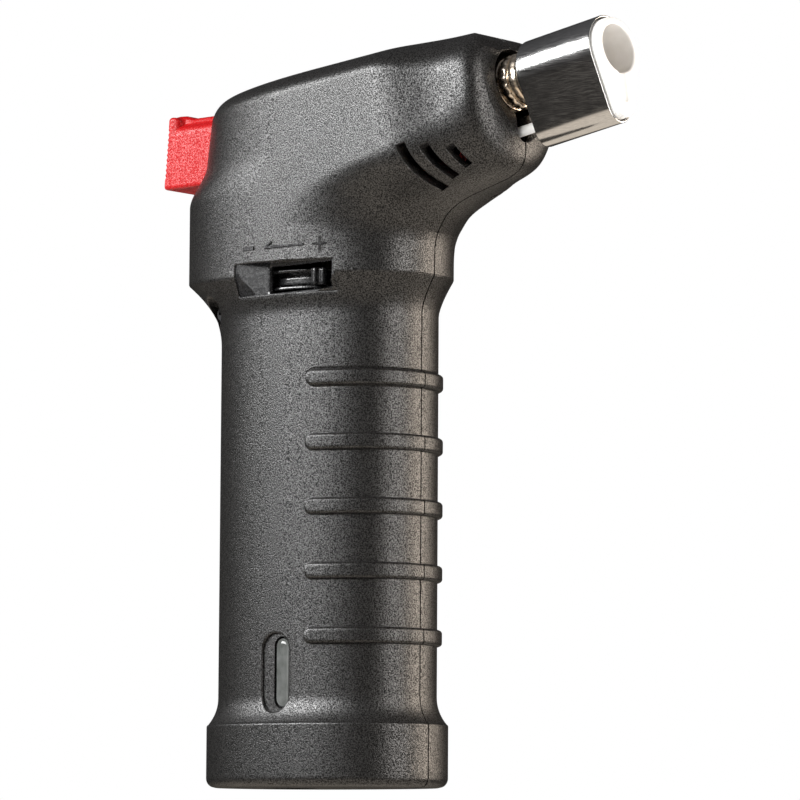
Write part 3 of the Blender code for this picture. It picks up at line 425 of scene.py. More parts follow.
def soft_cut(a, b, reach):
    """The first distance with the second cut away, its edges rounded."""
    return -soft_union(-a, b, reach)


# ---------------- outer form


def rounded(distance, radius, power=2.0):
    """How much of the full width is left at a distance from an edge that is rounded over."""
    inside = 1.0 - np.clip(distance / radius, 0.0, 1.0)
    return (1.0 - inside**power) ** (1.0 / power)


def ease(value, start, end):
    """0 before start, 1 after end, and a smooth step between."""
    share = np.clip((value - start) / (end - start), 0.0, 1.0)
    return share * share * (3.0 - 2.0 * share)


def smooth_rows(where):
    """The head's rows at fractional places in the table, on curves that never overshoot it."""
    table = HEAD_ROWS
    rise = np.diff(table, axis=0)
    slope = np.zeros_like(table)
    slope[0], slope[-1] = rise[0], rise[-1]
    product = rise[:-1] * rise[1:]
    mean = 2.0 * product / np.where(product > 0.0, rise[:-1] + rise[1:], 1.0)
    slope[1:-1] = np.where(product > 0.0, mean, 0.0)
    k = np.clip(where.astype(int), 0, len(table) - 2)
    t = (where - k)[:, None]
    a, b = table[k], table[k + 1]
    return (
        a * (1 + 2 * t) * (1 - t) ** 2 + slope[k] * t * (1 - t) ** 2
        + b * t * t * (3 - 2 * t) + slope[k + 1] * t * t * (t - 1)
    )


def burner_frame(x, z):
    """A point's distance ahead of the head's front face, and above the burner axis."""
    dx, dz = x - BURNER_X, z - BURNER_Z
    ahead = dx * math.cos(BURNER_TILT) + dz * math.sin(BURNER_TILT)
    return ahead, dz * math.cos(BURNER_TILT) - dx * math.sin(BURNER_TILT)


def flare(z, low, reach, power):
    """Outward reach of a concave flare that runs from low up to the ledge."""
    return reach * np.clip((z - low) / (LEDGE_Z - low), 0.0, 1.0) ** power


def ledge_lift(x):
    """How far the ledge has curved up at a place along X."""
    return LEDGE_RISE * np.clip((LEDGE_FRONT - x) / (LEDGE_FRONT + LEDGE_REAR), 0.0, 1.0) ** 3


def foot_reach(z):
    """How far the foot stands out from the handle: a rounded band under a concave flare."""
    lip = np.full_like(z, BASE_LIP)
    low = np.clip(1.0 - z / BASE_ROUND, 0.0, 1.0)
    lip -= BASE_ROUND * (1.0 - np.sqrt(1.0 - low**2))
    edge = np.clip((z - BASE_HEIGHT + 0.3) / 0.45, 0.0, 1.0)
    lip -= 0.3 * (1.0 - np.sqrt(1.0 - edge**2 * 0.98))
    top = BASE_HEIGHT + 0.15
    share = np.clip((z - top) / 5.2, 0.0, 1.0)
    cove = (BASE_LIP - 0.27) * (1.0 - share) ** 2.2
    return np.where(z <= top, lip, cove)


def oval(angles):
    """How far along X and across Y the handle's rounded section reaches at each angle, from 0 to 1."""
    lean = np.sign(np.cos(angles)) * abs(np.cos(angles)) ** (2.0 / SECTION_POWER)
    return lean, np.maximum(np.sin(angles), 0.0) ** (2.0 / SECTION_POWER)


def handle_grid(heights, angles, inset):
    """Rows of the handle's right side, from the front seam to the rear one."""
    z = heights[:, None]
    foot = foot_reach(z) if inset == 0.0 else 0.0
    rise = 0.8 * inset
    front = HANDLE_X - inset + foot
    front = front + flare(z - rise, FRONT_FLARE_BOTTOM, LEDGE_FRONT - HANDLE_X, FRONT_FLARE_POWER)
    rear = HANDLE_X - inset + foot
    rear = rear + flare(z - rise, FLARE_BOTTOM, LEDGE_REAR - HANDLE_X, REAR_FLARE_POWER)
    half_y = HANDLE_Y - inset + foot
    half_y = half_y + flare(z - rise, FRONT_FLARE_BOTTOM, LEDGE_Y - HANDLE_Y, FRONT_FLARE_POWER)
    lean, across = oval(angles)
    x = np.where(angles < math.pi / 2.0, front * lean, rear * lean)
    y = -half_y * across
    share = np.clip((z - rise - FLARE_BOTTOM) / (LEDGE_Z - FLARE_BOTTOM), 0.0, 1.0)
    return np.stack([x, y, z + ledge_lift(x) * share], axis=-1)


def head_grid(where, angles, inset):
    """Rows of the head's right side, at fractional places in the table of rows."""
    rows = smooth_rows(where)
    if inset:
        for k, turn in ((0, 1.0), (2, -1.0)):
            along = np.gradient(rows[:, k : k + 2], axis=0)
            normal = np.stack([-along[:, 1], along[:, 0]], axis=1) * turn
            rows[:, k : k + 2] += normal / np.linalg.norm(normal, axis=1)[:, None] * inset
    fx, fz, rx, rz, front_round, corner = (rows[:, k : k + 1] for k in range(6))
    length = np.hypot(rx - fx, rz - fz)
    lean, _ = oval(angles)
    share = 0.45 - np.where(angles < math.pi / 2.0, 0.45, 0.55) * lean
    x, z = fx + (rx - fx) * share, fz + (rz - fz) * share
    ahead, _ = burner_frame(x, z)
    nose = ease(ahead, NOSE_START, NOSE_FULL)
    run = np.subtract(TOP_FRONT, TOP_REAR)
    run = run / np.hypot(*run)
    below_top = (TOP_REAR[0] - x) * -run[1] + (TOP_REAR[1] - z) * run[0] - inset
    step = ease(z, *REAR_STEP)
    above = REAR_X_ABOVE_STEP + REAR_LEAN * np.maximum(z - REAR_STEP[1], 0.0)
    from_rear = x + LEDGE_REAR - (above + LEDGE_REAR) * step - inset
    width = LEDGE_Y + (NOSE_RADIUS - LEDGE_Y) * nose - inset
    width *= rounded(share * length, front_round - inset, SECTION_POWER - 0.22 * nose)
    width *= rounded(below_top, TOP_ROUND + (NOSE_TOP_ROUND - TOP_ROUND) * nose - inset)
    width *= rounded(from_rear, LEDGE_REAR - inset, SECTION_POWER)
    width *= rounded((1.0 - share) * length, corner)
    edge = NOSE_ROUND - inset
    behind = np.clip((-ahead - inset) / edge, 0.0, 1.0)
    width -= edge * (1.0 - np.sqrt(1.0 - (1.0 - behind) ** 2))
    y = -np.maximum(width, 0.02)
    y[:, 0] = y[:, -1] = 0.0
    z = z + ledge_lift(x) * np.clip(1.0 - where[:, None] / 1.6, 0.0, 1.0)
    return np.stack([x, y, z], axis=-1)


def spread(stops):
    """Values that run through (value, spacing up to the next value) pairs."""
    values = []
    for (start, gap), (end, _) in zip(stops, stops[1:]):
        count = max(int(math.ceil((end - start) / gap)), 1)
        values += np.linspace(start, end, count, endpoint=False).tolist()
    return np.array(values + [stops[-1][0]])


def rib_relief(grid):
    """How far the finger ribs stand out, with a fine line sunk round each."""
    steps = np.linalg.norm(np.diff(grid[..., :2], axis=1), axis=-1)
    along = np.concatenate([np.zeros((len(grid), 1)), np.cumsum(steps, axis=1)], axis=1)
    z = grid[..., 2]
    column = np.argmin(abs(grid[len(grid) // 2, :, 0] - RIB_END_X))
    end = along[len(grid) // 2, column]
    relief = np.zeros(z.shape)
    for height in RIB_HEIGHTS:
        past = np.maximum(along - (end - RIB_HALF_HEIGHT), 0.0)
        distance = np.hypot(past, z - height) - RIB_HALF_HEIGHT
        inside = np.clip(1.0 + distance / 0.72, 0.0, 1.0)
        relief = np.maximum(relief, RIB_PROUD * (1.0 - inside**2.4) ** (1.0 / 2.0) * (distance < 0.0))
        groove = np.clip(1.0 - abs(distance - 0.1) / 0.16, 0.0, 1.0)
        relief -= 0.1 * groove * (distance > -0.02)
    return relief


def rib_rows():
    """Row heights that follow each rib's edges closely."""
    heights = []
    for height in RIB_HEIGHTS:
        for reach in (0.0, 0.5, 0.83, 0.98, 1.12, 1.25, 1.36, 1.45, 1.51, 1.545, 1.56, 1.65, 1.75, 1.81, 2.1):
            heights += [height + reach, height - reach]
    return heights


# The rows of the head's table over which smoothing of the crown sets in, and how often it runs
CROWN_ROWS = (13.0, 14.4)
CROWN_PASSES = 70


def outer_grid():
    """The right side's whole outer surface as rows of points, with its fine relief."""
    angles = spread([(0.0, 0.006), (0.02, 0.02), (0.14, 0.034), (1.14, 0.007), (1.32, 0.034), (3.0, 0.02),
                     (math.pi - 0.02, 0.006), (math.pi, 1.0)])
    heights = spread([(0.0, 0.22), (BASE_ROUND, 1.6), (11.2, 0.09), (12.0, 0.4), (17.5, 1.4), (82.0, 0.9),
                      (92.0, 0.4), (94.0, 0.12), (LEDGE_Z, 1.0)])
    clear = [h for h in heights if all(abs(h - r) > 2.3 for r in RIB_HEIGHTS)]
    heights = np.unique(np.round(clear + rib_rows(), 4))
    handle = handle_grid(heights, angles, 0.0)
    handle[-1, :, :2] *= 0.997
    where = spread([(0.02, 0.06), (1.0, 0.06), (3.0, 0.085), (9.0, 0.045), (13.0, 0.06), (15.0, 0.05),
                    (17.0, 1.0)])
    head = head_grid(where, angles, 0.0)
    weight = ease(where[1:-1], *CROWN_ROWS)[:, None, None] / 4.0
    for _ in range(CROWN_PASSES):
        head[1:-1] += weight * (head[:-2] + head[2:] - 2.0 * head[1:-1])
    grid = np.concatenate([handle, head])
    down, across = np.gradient(grid, axis=0), np.gradient(grid, axis=1)
    normal = np.cross(across, down)
    normal /= np.maximum(np.linalg.norm(normal, axis=-1, keepdims=True), 1e-9)
    if normal[len(heights) // 2, len(angles) // 2, 1] > 0.0:
        normal = -normal
    grid[: len(heights)] += normal[: len(heights)] * rib_relief(handle)[..., None]
    return grid


def closed_form(name, grid):
    """The whole body from its right side's rows, mirrored to the left."""
    left = grid[:, -2:0:-1] * (1.0, -1.0, 1.0)
    return ring_body(name, np.concatenate([grid, left], axis=1))


def tree_of(grid):
    """A search tree of the surface that runs through rows of points."""
    number = np.arange(grid.shape[0] * grid.shape[1]).reshape(grid.shape[:2])
    quads = np.stack([number[:-1, :-1], number[:-1, 1:], number[1:, 1:], number[1:, :-1]], axis=-1)
    return BVHTree.FromPolygons(grid.reshape(-1, 3).tolist(), quads.reshape(-1, 4).tolist())


GRID = outer_grid()
SIDE = tree_of(GRID)
# Y of the side where a ray misses it
SIDE_MISSED = -8.0


def side_y(x, z):
    """Y of the right side's outer surface at a place in XZ."""
    hit = SIDE.ray_cast(Vector((x, -60.0, z)), Vector((0.0, 1.0, 0.0)))[0]
    return hit.y if hit else SIDE_MISSED


# ---------------- openings


def offset_outline(outline, reach):
    """A closed outline moved outwards, its points turning anticlockwise."""
    outline = np.asarray(outline, float)
    along = np.roll(outline, -1, axis=0) - np.roll(outline, 1, axis=0)
    normal = np.stack([along[:, 1], -along[:, 0]], axis=1)
    return outline + normal / np.linalg.norm(normal, axis=1)[:, None] * reach


def round_corners(corners, radius, count=6):
    """A polygon's outline with its corners rounded, turning anticlockwise."""
    corners = [Vector(c) for c in corners]
    outline = []
    for k, corner in enumerate(corners):
        before = (corners[k - 1] - corner).normalized()
        after = (corners[(k + 1) % len(corners)] - corner).normalized()
        half = before.angle(after) / 2.0
        reach = radius / math.tan(half)
        middle = corner + (before + after).normalized() * radius / math.sin(half)
        start, end = corner + before * reach - middle, corner + after * reach - middle
        for step in range(count + 1):
            spot = start.lerp(end, step / count).normalized() * radius
            outline.append(tuple(middle + spot))
    return outline


def stadium(x0, x1, z0, z1):
    """A rounded outline with half circles for its narrow ends."""
    radius = min(x1 - x0, z1 - z0) / 2.0 * 0.999
    return round_corners([(x0, z0), (x1, z0), (x1, z1), (x0, z1)], radius, 12)


def densified(outline, gap):
    """An outline with no two points further apart than the gap."""
    points = []
    for k, point in enumerate(outline):
        after = outline[(k + 1) % len(outline)]
        count = max(int(math.dist(point, after) / gap), 1)
        for step in range(count):
            points.append(tuple(np.add(point, np.subtract(after, point) * step / count)))
    return points


LIP_STEPS = 5
LIP_CLEARANCE = 0.02
OUTLINE_GAP = 0.8


def lip_stages(lip):
    """(step, reach outwards, depth) of a rounded lip, from outside the surface to the lip's end."""
    stages = []
    for k in range(-1, LIP_STEPS + 1):
        angle = math.pi / 2.0 * max(k, 0) / LIP_STEPS
        reach = lip * (1.0 - math.sin(angle)) + (LIP_CLEARANCE if k < 1 else 0.0)
        stages.append((k, reach, lip * (1.0 - math.cos(angle))))
    return stages


def lipped_cutter(outline, side, deep, lip):
    """A cutter into one side, at the XZ outline, whose mouth is rounded over along the surface."""
    outline = densified(outline, OUTLINE_GAP)
    rings = []
    for k, reach, depth in lip_stages(lip):
        depth -= 0.03 if k < 1 else 0.0
        moved = offset_outline(outline, reach)
        rings.append([(x, side * (-side_y(x, z) - depth) if k >= 0 else side * 50.0, z) for x, z in moved])
    rings.append([(x, side * deep, z) for x, z in outline])
    return ring_body("cutter", rings)


# How far the head's front face lies behind the burner frame's start
FACE_SETBACK = 0.13


def front_cutter(outline, deep, lip):
    """A cutter into the head's front face, at a (left, up) outline about the burner axis."""
    rings = []
    for k, reach, depth in lip_stages(lip):
        depth = FACE_SETBACK + depth - (0.08 if k < 1 else 0.0)
        moved = offset_outline(outline, reach)
        rings.append([(-depth if k >= 0 else 6.0, y, up) for y, up in moved])
    rings.append([(deep, y, up) for y, up in outline])
    return ring_body("cutter", burner_points(rings))


def circle(radius, centre, count=48):
    """Points round a circle, in two dimensions."""
    turn = 2.0 * math.pi / count
    return [
        (centre[0] + radius * math.cos(turn * k), centre[1] + radius * math.sin(turn * k))
        for k in range(count)
    ]


KEYHOLE_RADIUS = 6.35
KEYHOLE_SLOT_HALF = 1.6
KEYHOLE_LOW = -11.2


def keyhole():
    """The outline round the burner: a circle with a narrow slot below it."""
    radius, half, low = KEYHOLE_RADIUS, KEYHOLE_SLOT_HALF, KEYHOLE_LOW
    start = -math.acos(half / radius)
    sweep = 2.0 * math.pi - (math.pi + 2.0 * start)
    outline = []
    for k in range(49):
        angle = start + sweep * k / 48
        outline.append((radius * math.cos(angle), radius * math.sin(angle)))
    for k in range(9):
        angle = math.pi + math.pi * k / 8
        outline.append((half * math.cos(angle), low + half + half * math.sin(angle)))
    return outline


# Upper and lower end of each vent's middle line, and how far it bows
VENTS = [
    ((30.9, 116.5), (33.8, 109.2), 0.15),
    ((34.7, 116.3), (37.2, 110.9), 0.1),
    ((38.9, 116.0), (40.5, 112.6), 0.05),
]
VENT_WIDTH = 1.75
# The wells of the screws, in the right side (-1) and the left one (1)
WELLS = {-1: [(-19.5, 90.0)], 1: [(19.8, 99.8), (4.0, 130.5), (-15.0, 80.6)]}
WELL_RADIUS = 2.7
SCREW_SEAT_Y = 6.4
FOOT_WALL = 3.2
WALL = 0.75
TRIGGER_MOUTH = [(-6.9, 114.5), (6.9, 114.5), (6.9, 129.5), (-6.9, 129.5)]
# The flame lever's place: a wall behind it, the recess in the side, and the slot in its floor
PAD = ((-10.4, -17.4, 90.2), (15.2, -14.25, 98.4))
RECESS = [(-9.1, 91.4), (13.9, 91.2), (14.2, 97.0), (-8.9, 97.4)]
RECESS_FLOOR = 15.1
RAMP_HEIGHTS = (91.25, 97.55)
RAMP_SECTION = [(-9.4, -17.4), (-2.5, -15.0), (-2.5, -14.5), (-9.4, -14.5)]
SLOT = [(-1.65, 91.75), (13.2, 91.75), (13.2, 96.65), (-1.65, 96.65)]
# Distance from the middle plane, and how far the slot is widened there
SLOT_FLARE = ((11.0, 0.0), (14.5, 0.0), (14.8, 0.08), (14.98, 0.24), (15.08, 0.5), (16.0, 0.6))
RECESS_BOX = ((-9.3, 91.1), (14.4, 97.6))
RECESS_SKIN = 0.25
WINDOW = (-2.6, 3.9, 13.8, 28.3)
WINDOW_FLOOR = 14.75
GLASS = (0.0, 3.6, 14.4, 27.7)


def vent_outline(upper, lower, bow):
    """A slanted slot that bows down a little between its ends."""
    upper, lower = np.array(upper), np.array(lower)
    along = lower - upper
    across = np.array((-along[1], along[0])) / np.hypot(*along)
    share = np.linspace(0.0, 1.0, 9)[:, None]
    middle = upper + along * share - across * bow * 4.0 * share * (1.0 - share)
    left = middle + across * VENT_WIDTH / 2.0
    right = middle - across * VENT_WIDTH / 2.0
    outline = [tuple(p) for p in np.concatenate([left, right[::-1]])]
    area = sum(a[0] * b[1] - b[0] * a[1] for a, b in zip(outline, outline[1:] + outline[:1]))
    return outline if area > 0.0 else outline[::-1]


def foot_opening():
    """The column through the floor that the tank's lid fills, its lower edge broken."""
    lean, across = oval(np.linspace(0.0, math.pi, 65))
    rings = []
    for z, reach in ((-2.0, 0.3), (0.01, 0.3), (0.3, 0.0), (4.0, 0.0)):
        x = (HANDLE_X - FOOT_WALL + reach) * lean
        y = -(HANDLE_Y - FOOT_WALL + reach) * across
        row = np.stack([x, y, np.full_like(x, z)], axis=1)
        rings.append(np.concatenate([row, row[-2:0:-1] * (1.0, -1.0, 1.0)]))
    return ring_body("foot_opening", rings)


MARK_PROUD = 0.28
MARK_ROOT = -0.3
MARK_TAPER = 0.06


def mark(name, outline_rows):
    """A raised mark on the right side, from rows of (lower, upper) XZ points."""
    rings = []
    for lower, upper in outline_rows:
        ring = []
        corners = ((lower, MARK_ROOT), (upper, MARK_ROOT), (upper, MARK_PROUD), (lower, MARK_PROUD))
        for (x, z), out in corners:
            shrink = MARK_TAPER if out > 0.0 else 0.0
            middle = np.add(lower, upper) / 2.0
            spot = np.subtract((x, z), middle)
            spot = middle + spot * (1.0 - shrink / max(np.hypot(*spot), 0.07))
            ring.append((spot[0], side_y(x, z) - out, spot[1]))
        rings.append(ring)
    return ring_body(name, rings)


def stroke(start, end, width, pieces):
    """The rows of a straight mark of one width."""
    start, end = np.array(start), np.array(end)
    along = (end - start) / np.hypot(*(end - start))
    across = np.array((-along[1], along[0])) * width / 2.0
    places = [start + (end - start) * k / pieces for k in range(pieces + 1)]
    return [(place - across, place + across) for place in places]


# Ends, width and number of pieces of the strokes of a minus, a two-headed arrow and a plus
DIAL_STROKES = [
    ((-6.4, 100.1), (-3.6, 100.1), 0.75, 8),
    ((-0.9, 99.95), (8.2, 99.95), 0.5, 16),
    ((-0.9, 99.85), (0.9, 100.95), 0.45, 8),
    ((8.2, 99.85), (6.4, 100.95), 0.45, 8),
    ((10.2, 99.9), (13.0, 99.9), 0.42, 8),
    ((11.6, 98.5), (11.6, 101.3), 0.42, 8),
]


def dial_marks():
    """The marks over the flame lever's slot."""
    for number, line in enumerate(DIAL_STROKES):
        dress(mark(f"dial_mark_{number}", stroke(*line)), "lever_plastic")


def inner_rows(inset):
    """Rows of the whole form, moved inwards."""
    angles = np.linspace(0.0, math.pi, 41)
    handle = handle_grid(spread([(1.5, 3.0), (82.0, 1.2), (LEDGE_Z, 1.0)]), angles, inset)
    return np.concatenate([handle, head_grid(spread([(0.15, 0.3), (17.0, 1.0)]), angles, inset)])


def packed_inside(name):
    """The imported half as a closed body, whose inner walls, ribs and bosses the fine half keeps."""
    packed = frame["nodes"][name].data.copy()
    welded = bmesh.new()
    welded.from_mesh(packed)
    bmesh.ops.remove_doubles(welded, verts=welded.verts, dist=0.0000005)
    welded.to_mesh(packed)
    welded.free()
    return placed("packed", packed)


def lever_recess(made):
    """The flame lever's recess in the right half: its wall, its sloping floor and the slot."""
    pad = block("pad", *PAD)
    combine(pad, closed_form("pad_form", inner_rows(0.4)), "INTERSECT")
    combine(made, pad, "UNION")
    cut(made, lipped_cutter(round_corners(RECESS, 0.5), -1, RECESS_FLOOR, 0.2))
    rings = [[(x, y, z) for x, y in RAMP_SECTION] for z in RAMP_HEIGHTS]
    ramp = ring_body("ramp", rings)
    combine(ramp, closed_form("ramp_form", inner_rows(0.3)), "INTERSECT")
    combine(made, ramp, "UNION")
    slot = round_corners(SLOT, 0.3)
    rings = [[(x, -y, z) for x, z in offset_outline(slot, out)] for y, out in SLOT_FLARE]
    cut(made, ring_body("slot", rings))


def tank_opening(made):
    """The dished window in the right half, and the hole that shows the tank."""
    cut(made, lipped_cutter(stadium(*WINDOW), -1, WINDOW_FLOOR, 0.35))
    rings = [[(x, -y, z) for x, z in stadium(*GLASS)] for y in (11.0, 17.0)]
    cut(made, ring_body("window", rings))


def smooth_recess(made):
    """Gives the recess's inner faces a smooth finish in place of the grain."""
    made.data.materials.append(LOOKS["lever_plastic"])
    (x0, z0), (x1, z1) = RECESS_BOX
    for face in made.data.polygons:
        x, y, z = face.center / MM
        if x0 < x < x1 and z0 < z < z1 and side_y(x, z) + RECESS_SKIN < y < -11.0:
            face.material_index = 1
            face.use_smooth = False


def housing(side):
    """One moulded half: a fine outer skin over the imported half's own walls, ribs and bosses."""
    name = "left_housing" if side > 0 else "right_housing"
    made = closed_form(name + "_shell", GRID)
    near, far = sorted((side * PARTING, side * 60.0))
    combine(made, block("half", (-60.0, near, -10.0), (80.0, far, 160.0)), "INTERSECT")
    cavity = closed_form("cavity", inner_rows(WALL))
    cut(cavity, packed_inside(name))
    cut(made, cavity)
    cut(made, foot_opening())
    for vent in VENTS:
        cut(made, lipped_cutter(vent_outline(*vent), side, 4.0, 0.12))
    for centre in WELLS[side]:
        well = lipped_cutter(circle(WELL_RADIUS, centre), side, SCREW_SEAT_Y + 0.05, 0.22)
        cut(made, well)
    cut(made, front_cutter(keyhole(), -5.0, 0.3))
    mouth = round_corners(TRIGGER_MOUTH, 0.6)
    rings = [[(x, y, z) for y, z in mouth] for x in (-60.0, -20.0)]
    cut(made, ring_body("mouth", rings))
    if side < 0:
        lever_recess(made)
        tank_opening(made)
    dress(made, "black_plastic", stands_for=[name])
    if side < 0:
        smooth_recess(made)


housing(-1)
housing(1)
dial_marks()


# ---------------- burner end


DROP_TOP_RADIUS = 6.6
DROP_BOTTOM_RADIUS = 3.4
DROP_LENGTH = 10.2
SLEEVE_WALL = 0.4
SLEEVE_REAR = 4.7
SLEEVE_FRONT = 21.8
SLEEVE_MIDDLE = 13.0
# The ceramic mouth: middle and half of its length, its gap to the drop's outline, its corners
CERAMIC_MIDDLE = 18.75
CERAMIC_HALF = 4.75
CERAMIC_INSET = 0.7
CERAMIC_ROUND = 0.65
FLAME_HOLE_RADIUS = 4.5
ELECTRODE_DROP = 9.2
GROOVE_FRONT = 24.1
GROOVE_RADIUS = 1.15
SPARK_SLOT_FRONT = 20.4
SPARK_SLOT_HALF = 0.55
SPARK_SLOT_LOW = -9.8
SPARK_BORE_RADIUS = 1.3
NUT_RING_STARTS = (-2.6, -0.5, 1.6)
NUT_RADIUS = 4.78
NUT_RING_PROUD = 0.42
NUT_RING_HALF = 0.85
NUT_BORE = [(4.4, -2.6), (4.4, 3.3)]
INSULATOR = [(0.8, -10.0), (0.95, -9.85), (0.95, 13.45), (0.8, 13.6)]
INSULATOR_BORE = [(0.6, -10.0), (0.6, 13.6)]


def drop_outline(inset):
    """The nozzle's drop shape, (left, up) about the burner axis, with the point below."""
    slope = math.asin((DROP_TOP_RADIUS - DROP_BOTTOM_RADIUS) / DROP_LENGTH)
    upper = np.linspace(-slope, math.pi + slope, 48)
    lower = np.linspace(math.pi + slope, 2.0 * math.pi - slope, 24)
    r0, r1 = DROP_TOP_RADIUS - inset, DROP_BOTTOM_RADIUS - inset
    top = np.stack([r0 * np.cos(upper), r0 * np.sin(upper)], axis=1)
    low = np.stack([r1 * np.cos(lower), r1 * np.sin(lower) - DROP_LENGTH], axis=1)
    sides = []
    for a, b in ((top[-1], low[0]), (low[-1], top[0])):
        sides.append(a + (b - a) * np.linspace(0.0, 1.0, 12)[1:-1, None])
    return np.concatenate([top, sides[0], low, sides[1]])


def drop_rings(layers):
    """Rings of the drop shape from (inset, distance along the axis) pairs."""
    rings = []
    for inset, along in layers:
        outline = drop_outline(inset)
        rings.append(np.concatenate([np.full((len(outline), 1), along), outline], axis=1))
    return burner_points(rings)


def sleeve():
    """The steel sleeve, its two rims rounded over."""
    half = SLEEVE_WALL / 2
    turns = [math.pi * k / 6 for k in range(7)]
    layers = [(half - half * math.cos(turn), SLEEVE_REAR + half - half * math.sin(turn)) for turn in turns]
    layers.append((SLEEVE_WALL, SLEEVE_MIDDLE))
    layers += [(half + half * math.cos(turn), SLEEVE_FRONT - half + half * math.sin(turn)) for turn in turns]
    layers.append((0.0, SLEEVE_MIDDLE))
    made = ring_body("nozzle_sleeve_tube", drop_rings(layers), closed=True)
    dress(made, "stainless", stands_for=["nozzle_sleeve"], smooth_angle=50.0)


def drop_distance(y, up):
    """Distance to the nozzle's drop outline: a capsule with a large upper and a small lower end."""
    r0, r1, height = DROP_BOTTOM_RADIUS, DROP_TOP_RADIUS, DROP_LENGTH
    x, z = abs(y), up + height
    b = (r0 - r1) / height
    a = math.sqrt(1.0 - b * b)
    k = -b * x + a * z
    below = np.hypot(x, z) - r0
    above = np.hypot(x, z - height) - r1
    side = x * a + z * b - r0
    return np.where(k < 0.0, below, np.where(k > a * height, above, side))


def ceramic():
    """The white ceramic mouth: a rounded lip over the sleeve's rim, the flame's hole and its slot."""

    def distance(ahead, y, up):
        across = drop_distance(y, up) + CERAMIC_INSET + CERAMIC_ROUND
        along = abs(ahead - CERAMIC_MIDDLE) - CERAMIC_HALF + CERAMIC_ROUND
        solid = np.hypot(np.maximum(across, 0.0), np.maximum(along, 0.0))
        solid = solid + np.minimum(np.maximum(across, along), 0.0) - CERAMIC_ROUND
        solid = soft_cut(solid, np.hypot(y, up) - FLAME_HOLE_RADIUS, 0.5)
        below = np.maximum(-ELECTRODE_DROP - up, 0.0)
        groove = np.hypot(np.hypot(y, below), ahead - GROOVE_FRONT) - GROOVE_RADIUS
        solid = soft_cut(solid, np.maximum(groove, up), 0.25)
        inside = ahead - SPARK_SLOT_FRONT
        slot = most(abs(y) - SPARK_SLOT_HALF, inside, up, SPARK_SLOT_LOW - up)
        bore = np.maximum(np.hypot(y, up + ELECTRODE_DROP) - SPARK_BORE_RADIUS, inside)
        return np.maximum(solid, -np.minimum(slot, bore))

    made = solid_from("ceramic_mouth_body", distance, (13.5, -7.0, -14.0), (24.2, 7.0, 7.0), 0.13)
    points = np.array([v.co for v in made.data.vertices]) / MM
    moved = burner_points(points) * MM
    made.data.vertices.foreach_set("co", moved.astype(np.float32).ravel())
    dress(made, "ceramic", stands_for=["ceramic_mouth"], smooth_angle=60.0)


def lathe(name, profile, bore, count, ripple=None, drop=0.0):
    """A turned tube from (radius, along) pairs, about the burner axis or at a drop below it."""
    angles = np.linspace(0.0, 2.0 * math.pi, count, endpoint=False)
    rings = []
    for radius, along in list(profile) + list(bore)[::-1]:
        reach = np.full(count, radius)
        if ripple and (radius, along) in profile:
            reach = reach + ripple(angles, along)
        ring = [np.full(count, along), reach * np.cos(angles), reach * np.sin(angles)]
        rings.append(np.stack(ring, axis=1))
    rings = np.asarray(rings) - (0.0, 0.0, drop)
    return ring_body(name, burner_points(rings), closed=True)


def nut():
    """The brass nut behind the sleeve: rounded rings with a knurled middle."""
    profile = []
    for start in NUT_RING_STARTS:
        for k in range(9):
            turn = math.pi * k / 8
            along = start + NUT_RING_HALF - NUT_RING_HALF * math.cos(turn)
            profile.append((NUT_RADIUS + NUT_RING_PROUD * math.sin(turn) ** 0.6, along))

    def ripple(angles, along):
        """Knurling round the middle, and small dents."""
        middle = max(1.0 - abs(along - 0.35) / 1.1, 0.0)
        dents = np.cos(angles * 7.0 + along * 3.1) * np.cos(angles * 11.0 - along * 4.3)
        return 0.1 * middle * np.cos(angles * 18.0) - 0.05 + 0.05 * dents

    made = lathe("burner_nut_turned", profile, NUT_BORE, 144, ripple)
    dress(made, "brass", stands_for=["burner_nut"], smooth_angle=50.0)


def insulator():
    """The igniter electrode's ceramic tube under the burner."""
    made = lathe("electrode_insulator_tube", INSULATOR, INSULATOR_BORE, 40, drop=ELECTRODE_DROP)
    dress(made, "ceramic", stands_for=["electrode_insulator"])


sleeve()
ceramic()
nut()
insulator()


# ---------------- trigger and lever


TRIGGER_REAR_X = -37.25
TRIGGER_REAR_LEAN = 0.085
TRIGGER_BOX = ((-45.0, -6.5, 115.4), (-17.4, 6.5, 129.5))
TRIGGER_EDGE = 0.6
RIDGE_START = 117.8
RIDGE_PITCH = 0.98
RIDGE_DEPTH = 0.26
CROWN_TOP = 129.15


